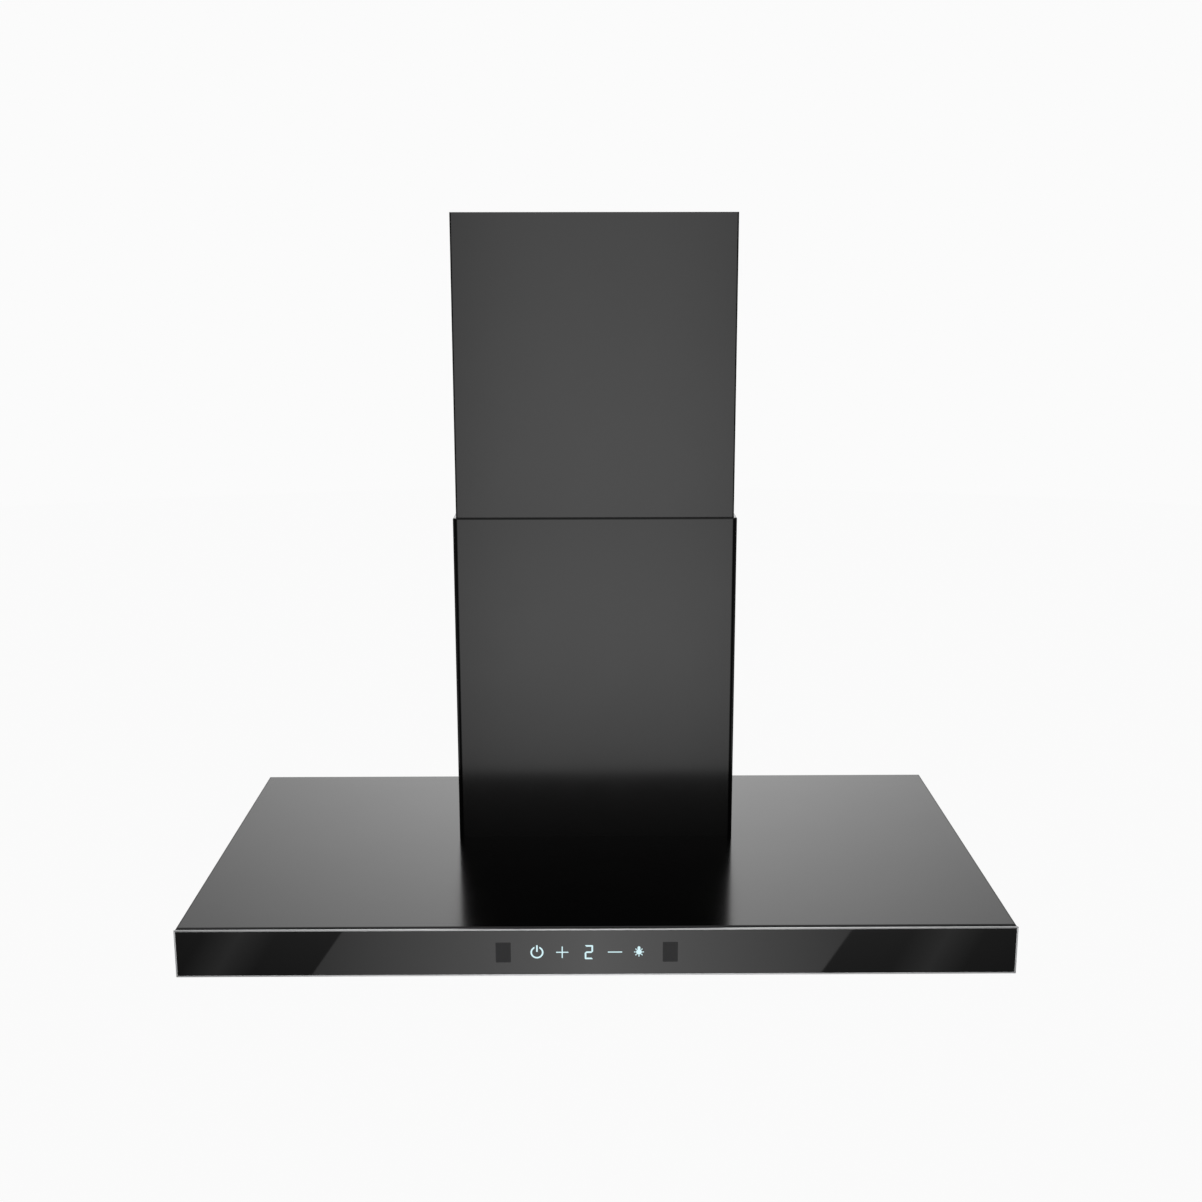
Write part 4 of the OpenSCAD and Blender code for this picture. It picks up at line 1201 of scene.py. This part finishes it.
@dataclass(frozen=True)
class ScrewPlace:
    """Where one screw is, found from its CAD solid.

    Attributes:
        seat: Point on the axis, under the head or at a flush head's face.
        axis: Direction from the shank to the head.
        head: Radius of the head.
        length: Whole length.
        flush: Whether the head is countersunk.
    """

    seat: Vector
    axis: Vector
    head: float
    length: float
    flush: bool

    @classmethod
    def of_solid(cls, corners: Sequence[Vector]) -> "ScrewPlace":
        """Works out a screw's place from its solid.

        Args:
            corners: Corners of the solid.

        Returns:
            The place.
        """
        low = Vector([min(corner[k] for corner in corners) for k in range(3)])
        high = Vector([max(corner[k] for corner in corners) for k in range(3)])
        size, middle = high - low, (low + high) / 2
        along = max(range(3), key=lambda k: sum(abs(size[k] - other) for other in size))
        head = size[(along + 1) % 3] / 2
        # heights of the corners on the head's rim, along the axis
        rim = []
        for corner in corners:
            off = corner - middle
            if off.length_squared - off[along] ** 2 > (0.96 * head) ** 2:
                rim.append(corner[along])
        sign = 1.0 if sum(rim) / len(rim) > middle[along] else -1.0
        axis = Vector([sign if k == along else 0.0 for k in range(3)])
        flush = max(rim) - min(rim) < 0.05 * MM
        end = high[along] if sign > 0 else low[along]
        seat = middle.copy()
        seat[along] = end if flush else (min(rim) if sign > 0 else max(rim))
        return cls(seat, axis, head, size[along], flush)


@dataclass
class Fasteners:
    """Cross-recessed screws in the places of the CAD screws, and the tower's rivets.

    Attributes:
        shop: Workshop that the pieces are handed over to.
        pitch: Distance between a screw's threads.
    """

    shop: Workshop
    pitch: float = 0.9 * MM

    def build(self) -> None:
        """Builds one piece for each size of screw on each body, and the rivets."""
        for node, body in (("hood_screws", Body.HOOD), ("upper_chimney_screws", Body.UPPER)):
            sizes: dict[tuple, list[ScrewPlace]] = {}
            for place in map(ScrewPlace.of_solid, solids(frame["nodes"][node])):
                key = (round(place.head / MM, 1), round(place.length / MM, 1), place.flush)
                sizes.setdefault(key, []).append(place)
            for number, ((head, length, flush), places) in enumerate(sorted(sizes.items())):
                unit = self._screw(head * MM, length * MM, flush)
                spots = [(place.seat, place.axis) for place in places]
                piece = self.shop.spots(f"{node}_{number + 1}", unit, spots)
                self.shop.hand_over(piece, body, "screw_steel", [node] if number == 0 else ())
        self._rivets()

    def _screw(self, head: float, length: float, flush: bool) -> bpy.types.Object:
        """One screw on the origin with its head upwards.

        Args:
            head: Radius of the head.
            length: Whole length.
            flush: Whether the head is countersunk.

        Returns:
            The screw.
        """
        height = 0.0 if flush else head * 0.6
        shank = head * (0.45 if flush else 0.54)
        tip = height - length
        thread = []
        for i in range(max(2, int((-tip - 0.3 * MM) / self.pitch))):
            z = tip + 0.4 * MM + self.pitch * i
            thread += [(shank, z), (shank * 0.84, z + self.pitch / 2)]
        if flush:
            cap = [(shank, -1.0 * MM), (head, 0.0), (head * 0.98, 0.0), (0, 0.0)]
        else:
            cap = [(shank, 0.0), (head * 0.97, 0.0), (head, 0.1 * height), (head * 0.98, 0.45 * height),
                   (head * 0.86, 0.78 * height), (head * 0.6, 0.95 * height), (head * 0.3, height),
                   (0, height)]
        screw = Shape().turned([(0, tip), (shank * 0.6, tip), *thread, *cap], segments=20).object("screw")
        arm, width, deep = head * 0.55, head * 0.11, max(0.35 * MM, height * 0.6)
        for reach in ((arm, width), (width, arm)):
            slot = Shape().block((-reach[0], -reach[1], height - deep), (*reach, height + 1 * MM), 0)
            screw = carve(screw, slot.object("slot"))
        return screw

    def _rivets(self) -> None:
        """Flat rivets down both sides of the blower tower."""
        low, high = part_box("motor_tower")
        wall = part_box("power_box")[0].x
        unit = Shape().turned([(0, 0), (2.6 * MM, 0), (2.5 * MM, 0.45 * MM), (1.6 * MM, 0.8 * MM),
                               (0, 0.9 * MM)], segments=16).object("rivet")
        inset, end, count = 9 * MM, 20 * MM, 6
        spots = []
        for side in (-1, 1):
            for y in (low.y + inset, high.y - inset):
                for i in range(count):
                    z = low.z + end + i * (high.z - low.z - 2 * end) / (count - 1)
                    spots.append(((side * wall, y, z), (side, 0, 0)))
        self.shop.hand_over(self.shop.spots("tower_rivets", unit, spots), Body.HOOD, "bright_steel")


# ---------------------------------------------------------------- filters


@dataclass
class BaffleFilter:
    """One grease filter: channel frame with a finger recess, two rows of baffles and its rivets.

    Attributes:
        shop: Workshop that the pieces are handed over to.
        side: left or right.
        body: Body that the filter's pieces move with.
        side_bar: Width of the side and rear members.
        front_bar: Width of the front member.
        skin: Thickness of the members.
        tongue: How far the rear tongues stand out.
        tongue_half: Half a tongue's width.
        tongue_at: Distance of each tongue from the middle.
        count: Baffles in the lower row.
        sheet: Thickness of the baffles.
    """

    shop: Workshop
    side: str
    body: Body
    side_bar: float = 12.0 * MM
    front_bar: float = 44.0 * MM
    skin: float = 1.0 * MM
    tongue: float = 9.0 * MM
    tongue_half: float = 12.0 * MM
    tongue_at: float = 130.0 * MM
    count: int = 8
    sheet: float = 0.8 * MM

    def __post_init__(self) -> None:
        """Reads the filter's place from its CAD frame."""
        self.low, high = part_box(f"filter_{self.side}_frame")
        self.high = high - Vector((0, self.tongue, 0))
        self.middle = (self.low + self.high) / 2

    def build(self) -> None:
        """Builds the filter's pieces."""
        self._members()
        self._front()
        self._baffles()
        self._rivets()

    def _members(self) -> None:
        """Channel-shaped side and rear members, and the tongues behind them."""
        low, high = self.low, self.high
        bar, skin = self.side_bar, self.skin
        path = [(bar, low.z + skin / 2), (skin / 2, low.z + skin / 2), (skin / 2, high.z - skin / 2),
                (bar, high.z - skin / 2)]
        outline = strip_outline(path, skin, 1.2 * MM)
        shape = Shape()
        reach = high.y - low.y - self.front_bar
        shape.extruded(outline, frame_at((low.x, low.y + self.front_bar, 0), X, Z, Y), reach)
        shape.extruded(outline, frame_at((high.x, low.y + self.front_bar, 0), (-1, 0, 0), Z, Y), reach)
        width = high.x - low.x - 2 * bar
        shape.extruded(outline, frame_at((low.x + bar, high.y, 0), (0, -1, 0), Z, X), width)
        for x in (self.middle.x - self.tongue_at, self.middle.x + self.tongue_at):
            shape.block((x - self.tongue_half, high.y - 0.6 * MM, 2.0 * MM),
                        (x + self.tongue_half, high.y + self.tongue, 3.2 * MM), 0.5 * MM)
        self.shop.hand_over(shape.object(f"filter_{self.side}_channels"), self.body, "filter_steel",
                            [f"filter_{self.side}_frame"])

    def _front(self) -> None:
        """Wide front member with a round-cornered finger recess and its pull bar."""
        low, high = self.low, self.high
        shape = Shape().block(low, (high.x, low.y + self.front_bar, high.z), 0.9 * MM)
        centre = (self.middle.x, low.y + 22 * MM)
        cutter = Shape().extruded(round_rect(76 * MM, 30 * MM, 7 * MM),
                                  Matrix.Translation((*centre, low.z - 1 * MM)), high.z - low.z)
        member = carve(shape.object(f"filter_{self.side}_front"), cutter.object("recess"))
        self.shop.hand_over(member, self.body, "filter_steel")
        y, z = centre[1] - 5 * MM, low.z + 2.5 * MM
        left, right = (centre[0] + side * 37.5 * MM for side in (-1, 1))
        ends = (left, y, z + 3.5 * MM), (right, y, z + 3.5 * MM)
        path = rounded([ends[0], (left + 1 * MM, y, z), (right - 1 * MM, y, z), ends[1]], 3 * MM)
        pull = Shape().swept(path, 2.0 * MM, 14)
        self.shop.hand_over(pull.object(f"filter_{self.side}_pull"), self.body, "bright_steel")

    def _baffles(self) -> None:
        """Two staggered rows of rolled baffles."""
        inner = self.high.x - self.low.x - 2 * self.side_bar
        pitch = inner / self.count
        half, deep, t = pitch * 0.32, 3.6 * MM, self.sheet
        lip, foot = 0.4 * MM, 2.2 * MM
        y = self.low.y + self.front_bar - 4 * MM
        length = self.high.y - 2 * MM - y
        for name, first, count, base, up in (("lower", 0.5, self.count, 2.1 * MM, 1),
                                             ("upper", 1.0, self.count - 1, 9.9 * MM, -1)):
            path = [(-half + lip, base + up * (deep - t / 2)), (-half + foot, base + up * t / 2),
                    (half - foot, base + up * t / 2), (half - lip, base + up * (deep - t / 2))]
            place = frame_at((self.low.x + self.side_bar + first * pitch, y, 0), X, Z, Y)
            unit = Shape().extruded(strip_outline(path, t, 1.6 * MM), place, length)
            piece = self.shop.row(unit.object(f"filter_{self.side}_baffles_{name}"), count, (pitch, 0, 0))
            stands_for = [f"filter_{self.side}_baffles"] if name == "lower" else ()
            self.shop.hand_over(piece, self.body, "filter_steel", stands_for)

    def _rivets(self) -> None:
        """Rivets that join the members at the corners and along the front."""
        unit = Shape().turned([(0, -0.5 * MM), (2.2 * MM, -0.5 * MM), (2.1 * MM, 0.35 * MM),
                               (1.2 * MM, 0.6 * MM), (0, 0.68 * MM)], segments=16).object("rivet")
        inset, off = self.side_bar / 2, 110 * MM
        rows = [self.low.y + self.front_bar - 6 * MM, self.high.y - inset]
        columns = [self.low.x + inset, self.middle.x - off, self.middle.x + off, self.high.x - inset]
        spots = [((x, y, self.low.z), (0, 0, -1)) for x in columns for y in rows]
        piece = self.shop.spots(f"filter_{self.side}_rivets", unit, spots)
        self.shop.hand_over(piece, self.body, "bright_steel")


# ---------------------------------------------------------------- lamps


@dataclass
class Lamp:
    """One round lamp: pressed bezel, frosted lens and a finned heat sink.

    Attributes:
        shop: Workshop that the pieces are handed over to.
        side: left or right.
        fins: Number of cooling fins.
    """

    shop: Workshop
    side: str
    fins: int = 28

    def build(self) -> None:
        """Builds the lamp's pieces round the middle of its CAD bezel."""
        low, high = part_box(f"lamp_{self.side}_bezel")
        centre = Vector(((low.x + high.x) / 2, (low.y + high.y) / 2, 0))
        place = Matrix.Translation(centre) @ Matrix.Scale(MM, 4)
        r = (high.x - low.x) / 2 / MM
        # profiles in millimetres
        section = [(r - 8, 0.7), (r - 7.6, 0.35), (r - 5, 0.12), (r - 2, 0.0), (r - 0.6, 0.1),
                   (r - 0.1, 0.4), (r, 0.7), (r, 1.0), (r - 5.9, 1.0), (r - 5.9, 12), (r - 7.5, 12),
                   (r - 7.5, 3.4), (r - 8, 3.4)]
        bezel = Shape().turned(section, place, 72, ring=True)
        self.shop.hand_over(bezel.object(f"lamp_{self.side}_ring"), Body.HOOD, "lamp_bezel_metal",
                            [f"lamp_{self.side}_bezel"])
        ripples = [(2.0 * i, 0.75 + 0.09 * (i % 2)) for i in range(1, 12)]
        lens = [(0, 0.75), *ripples, (r - 8.4, 1.1), (r - 8.2, 1.5), (r - 8.2, 3.4), (r - 7.7, 3.4),
                (r - 7.7, 5.4), (0, 5.4)]
        self.shop.hand_over(Shape().turned(lens, place, 72).object(f"lamp_{self.side}_glass"), Body.HOOD,
                            "lamp_lens", [f"lamp_{self.side}_lens"])
        core = [(0, 5.4), (r - 7.7, 5.4), (r - 7.7, 8), (r - 12, 8.4), (r - 12, 9), (12, 9.6), (12, 24),
                (9, 26), (9, 28), (0, 28)]
        self.shop.hand_over(Shape().turned(core, place, 48).object(f"lamp_{self.side}_core"), Body.HOOD,
                            "heat_sink", [f"lamp_{self.side}_housing"])
        fin = Shape().block((11 * MM, -0.55 * MM, 8.6 * MM), ((r - 7) * MM, 0.55 * MM, 25 * MM), 0.25 * MM)
        ring = self.shop.ring(fin.object(f"lamp_{self.side}_fins"), self.fins, centre)
        self.shop.hand_over(ring, Body.HOOD, "heat_sink")


# ---------------------------------------------------------------- blower wheel


@dataclass
class BlowerWheel:
    """Double-width wheel with forward-curved blades.

    Attributes:
        shop: Workshop that the pieces are handed over to.
        blades: Number of blades.
        ribs: Number of ribs on the disc.
        depth: Radial depth of a blade.
        lean: How far a blade curves forward, in degrees.
        skin: Thickness of a blade.
    """

    shop: Workshop
    blades: int = 36
    ribs: int = 9
    depth: float = 11.0 * MM
    lean: float = 7.0
    skin: float = 0.7 * MM

    def build(self) -> None:
        """Builds the wheel round the shaft's axis."""
        low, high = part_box("impeller")
        shaft_low, shaft_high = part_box("motor_shaft")
        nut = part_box("impeller_nut")[0].x
        centre = Vector(((low.x + high.x) / 2, (shaft_low.y + shaft_high.y) / 2,
                         (shaft_low.z + shaft_high.z) / 2))
        rim, half, bore = (high.z - low.z) / 2, (high.x - low.x) / 2, 4.0 * MM
        place = Matrix.Translation(centre) @ ALONG_X
        inner, turn = rim - self.depth, (0, math.pi / 2, 0)
        disc = [(12 * MM, -4 * MM), (15 * MM, -MM), (40 * MM, -0.7 * MM), (44 * MM, -MM), (rim - 3 * MM, -MM),
                (rim, -0.5 * MM)]
        back = [(radius, -height) for radius, height in reversed(disc)]
        hub = Shape().turned([(bore, -10 * MM), (10 * MM, -10 * MM), (11.4 * MM, -9 * MM), *disc, *back,
                              (12 * MM, nut - MM), (11 * MM, nut), (bore, nut)], place, 72, ring=True)
        for side in (-1, 1):
            z = [side * v for v in (half - 2 * MM, half - 1.6 * MM, half - 0.3 * MM, half)]
            hub.turned([(inner + 0.4 * MM, z[0]), (rim - 0.3 * MM, z[0]), (rim, z[1]), (rim, z[2]),
                        (rim - 0.4 * MM, z[3]), (inner + 0.4 * MM, z[3]), (inner, z[2]), (inner, z[1])],
                       place, 72, ring=True)
        self.shop.hand_over(hub.object("wheel_disc_and_rings"), Body.IMPELLER, "blower_plastic", ["impeller"])
        blades = self.shop.ring(self._blade(inner, rim, half - MM), self.blades, centre, turn)
        self.shop.hand_over(blades, Body.IMPELLER, "blower_plastic")
        rib = Shape().block((11 * MM, -0.9 * MM, -4 * MM), (38 * MM, 0.9 * MM, 4 * MM), 0.4 * MM)
        ribs = self.shop.ring(rib.object("wheel_ribs"), self.ribs, centre, turn)
        self.shop.hand_over(ribs, Body.IMPELLER, "blower_plastic")

    def _blade(self, inner: float, rim: float, reach: float) -> bpy.types.Object:
        """Builds one curved blade along Z.

        Args:
            inner: Radius of its inner edge.
            rim: Radius of its outer edge.
            reach: Half its length.

        Returns:
            The blade.
        """
        line = []
        for i in range(7):
            r = inner + 0.5 * MM + (rim - inner - 1.0 * MM) * i / 6
            a = math.radians(self.lean) * (i / 6) ** 2 + math.radians(0.45)
            line.append((r * math.cos(a), r * math.sin(a)))
        outline = strip_outline(line, self.skin, 0.3 * MM)
        return Shape().extruded(outline, Matrix.Translation((0, 0, -reach)), 2 * reach).object("wheel_blades")


# ---------------------------------------------------------------- damper


@dataclass
class FlapRibs:
    """Beads pressed into the two flaps of the backdraught damper.

    Attributes:
        shop: Workshop that the pieces are handed over to.
        wire: Radius of a bead.
        arcs: Radius of each curved bead, as a share of the flap's reach.
        spokes: Angle of each straight bead, in degrees.
        spoke: Radii of a straight bead's points, as shares of the flap's reach.
    """

    shop: Workshop
    wire: float = 0.9 * MM
    arcs: Pair = (0.5, 0.86)
    spokes: Triple = (-42.0, 0.0, 42.0)
    spoke: Triple = (0.53, 0.68, 0.83)

    def build(self) -> None:
        """Builds the beads of both flaps."""
        pin_low, pin_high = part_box("damper_pin")
        centre = (pin_low + pin_high) / 2
        for name, body, side in (("left", Body.FLAP_LEFT, -1), ("right", Body.FLAP_RIGHT, 1)):
            low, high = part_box(f"damper_flap_{name}")
            reach = max(abs(low.x - centre.x), abs(high.x - centre.x))
            turns = [math.radians(-66 + 132 * i / 24) for i in range(25)]
            paths = [[(radius * reach, a) for a in turns] for radius in self.arcs]
            for angle in self.spokes:
                paths.append([(radius * reach, math.radians(angle)) for radius in self.spoke])
            shape = Shape()
            for path in paths:
                shape.swept([(centre.x + side * r * math.cos(a), centre.y + r * math.sin(a), centre.z)
                             for r, a in path], self.wire, 12)
            self.shop.hand_over(shape.object(f"flap_beads_{name}"), body, "zinc_sheet")


# ---------------------------------------------------------------- electronics


@dataclass
class Electronics:
    """Power box details: louvres, terminal screws, board parts, mains gland and transformer.

    Attributes:
        shop: Workshop that the pieces are handed over to.
        louvres: Number of louvres in each column of the lid.
        terminals: Number of terminal screws.
        pins: Number of solder pins along and across the board.
        grips: Number of grip ridges round the gland.
        plates: Number of laminations in the transformer's core.
    """

    shop: Workshop
    louvres: int = 9
    terminals: int = 5
    pins: tuple[int, int] = (14, 3)
    grips: int = 16
    plates: int = 20

    def build(self) -> None:
        """Builds the details."""
        self._lid()
        self._terminals()
        self._board()
        self._gland()
        self._transformer()

    def _lid(self) -> None:
        """Two columns of pressed louvres on the lid."""
        low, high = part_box("power_box_lid")
        middle = (low + high) / 2
        hood = [(-2.2 * MM, 0.0), (2.2 * MM, 0.0), (2.2 * MM, 0.5 * MM), (1.5 * MM, 1.7 * MM),
                (0.4 * MM, 2.1 * MM)]
        margin = 40 * MM
        step = (high.z - low.z - 2 * margin) / (self.louvres - 1)
        for name, dy in (("lid_louvres_rear", 0.0), ("lid_louvres_front", -54 * MM)):
            place = frame_at((high.x, middle.y + 4 * MM + dy, low.z + margin), Z, X, Y)
            unit = Shape().extruded(hood, place, 46 * MM, 0.3 * MM)
            louvres = self.shop.row(unit.object(name), self.louvres, (0, 0, step))
            self.shop.hand_over(louvres, Body.HOOD, "zinc_sheet")

    def _terminals(self) -> None:
        """Slotted screws down the terminal block."""
        low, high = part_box("terminal_block")
        unit = Shape().turned([(0, -1 * MM), (1.9 * MM, -1 * MM), (1.9 * MM, 0.3 * MM), (1.7 * MM, 0.5 * MM),
                               (0, 0.5 * MM)], segments=20).object("terminal_screw")
        slot = Shape().block((-3 * MM, -0.25 * MM, 0.1 * MM), (3 * MM, 0.25 * MM, 2 * MM), 0)
        unit = carve(unit, slot.object("slot"))
        z, depth = (low.z + high.z) / 2, high.x - 8 * MM
        spots = [((depth, low.y + (7 + 10 * i) * MM, z), X) for i in range(self.terminals)]
        self.shop.hand_over(self.shop.spots("terminal_screws", unit, spots), Body.HOOD, "bright_steel")

    def _board(self) -> None:
        """Chips, a wound choke and solder pins on the main board."""
        low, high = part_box("main_board")
        face = low.x + 1.6 * MM
        chip = Shape().block((face, high.y - 30 * MM, low.z + 66 * MM),
                             (face + 2 * MM, high.y - 22 * MM, low.z + 76 * MM), 0.3 * MM)
        chips = self.shop.row(chip.object("board_chips"), 2, (0, 0, 16 * MM))
        self.shop.hand_over(chips, Body.HOOD, "housing_plastic")
        pin = Shape().turned([(0, 0), (0.5 * MM, 0), (0.45 * MM, 0.4 * MM), (0.2 * MM, 0.9 * MM),
                              (0, 1 * MM)], segments=10).object("pin")
        spots = [((low.x, low.y + (12 + 7 * i) * MM, low.z + (10 + 9 * j) * MM), (-1, 0, 0))
                 for i in range(self.pins[0]) for j in range(self.pins[1])]
        self.shop.hand_over(self.shop.spots("board_pins", pin, spots), Body.HOOD, "bright_steel")
        choke = Shape().block((0, 0, 0), (MM, MM, MM)).object("board_choke")
        self.shop.repeats.coil.apply(choke, {
            "Radius": 4.2 * MM, "Turns": 11.0, "Length": 18 * MM, "Wire": 0.7 * MM,
            "Turn": [math.pi / 2, 0, 0], "Centre": [face + 5 * MM, high.y - 18 * MM, low.z + 50 * MM]})
        self.shop.hand_over(choke, Body.HOOD, "motor_winding")

    def _gland(self) -> None:
        """Mains gland: hexagon nut, threaded body with its dome, and the dome's grip ridges."""
        low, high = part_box("mains_gland")
        centre, z = (low + high) / 2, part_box("power_box")[1].z
        r, bore = 11 * MM, 4 * MM
        place = Matrix.Translation((centre.x, centre.y, 0))
        hexagon = [(r * math.cos(math.radians(60 * k)), r * math.sin(math.radians(60 * k))) for k in range(6)]
        nut = Shape().extruded(hexagon, place @ Matrix.Translation((0, 0, z - 7 * MM)), 6 * MM, 0.4 * MM)
        low_z, high_z, width = z - 9 * MM, z + MM, 7.6 * MM
        hole = Shape().turned([(0, low_z), (width, low_z), (width, high_z), (0, high_z)], place)
        self.shop.hand_over(carve(nut.object("gland_nut"), hole.object("hole")), Body.HOOD, "gland_rubber")
        thread = []
        for i in range(4):
            thread += [(7.9 * MM, z + (i - 11.4) * MM), (7.4 * MM, z + (i - 10.9) * MM)]
        body = Shape().turned([(bore, low.z), (7.4 * MM, low.z), *thread, (7.9 * MM, z), (r, z),
                               (r, z + 4.6 * MM), (10.4 * MM, z + 5 * MM), (7.5 * MM, z + 5 * MM),
                               (7.5 * MM, z + 6 * MM), (9 * MM, z + 6 * MM), (9 * MM, z + 11 * MM),
                               (8 * MM, z + 15 * MM), (6.8 * MM, high.z - 0.6 * MM), (6.2 * MM, high.z),
                               (bore, high.z)], place, 48, ring=True)
        self.shop.hand_over(body.object("gland_body"), Body.HOOD, "gland_rubber", ["mains_gland"])
        grip = Shape().block((8.6 * MM, -0.6 * MM, z + 6.4 * MM), (9.5 * MM, 0.6 * MM, z + 11.6 * MM),
                             0.25 * MM)
        ring = self.shop.ring(grip.object("gland_grips"), self.grips, (centre.x, centre.y, 0))
        self.shop.hand_over(ring, Body.HOOD, "gland_rubber")

    def _transformer(self) -> None:
        """Core laminations round the winding."""
        low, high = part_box("transformer")
        x, t, edge = low.x, 0.8 * MM, 0.1 * MM
        base, top = low.z + 5 * MM, high.z - 5 * MM
        leg, yoke = 9 * MM, 5 * MM
        plate = Shape()
        for y in (low.y, high.y - leg):
            plate.block((x, y, base), (x + t, y + leg, top), edge)
        for z in (top - yoke, base):
            plate.block((x, low.y + leg - MM, z), (x + t, high.y - leg + MM, z + yoke), edge)
        core = self.shop.row(plate.object("transformer_core"), self.plates, (1.0 * MM, 0, 0))
        self.shop.hand_over(core, Body.HOOD, "screw_steel")
        coil = Shape().block((x, low.y + 10 * MM, low.z), (high.x, high.y - 10 * MM, high.z), 2.5 * MM)
        self.shop.hand_over(coil.object("transformer_coil"), Body.HOOD, "transformer_winding",
                            ["transformer"])


def main() -> None:
    """Builds the model."""
    logging.basicConfig(level=logging.INFO, format="%(name)s: %(message)s")
    Studio().build()
    wardrobe = Wardrobe()
    wardrobe.dress_cad()
    shop = Workshop(wardrobe, Repeats())
    ChimneyCovers(shop).build()
    GlassEdging(shop).build()
    Fasteners(shop).build()
    for side, body in (("left", Body.FILTER_LEFT), ("right", Body.FILTER_RIGHT)):
        BaffleFilter(shop, side, body).build()
        Lamp(shop, side).build()
    BlowerWheel(shop).build()
    FlapRibs(shop).build()
    Electronics(shop).build()
    LOG.info("%d pieces built", len(shop.made))


if __name__ == "__main__":
    main()
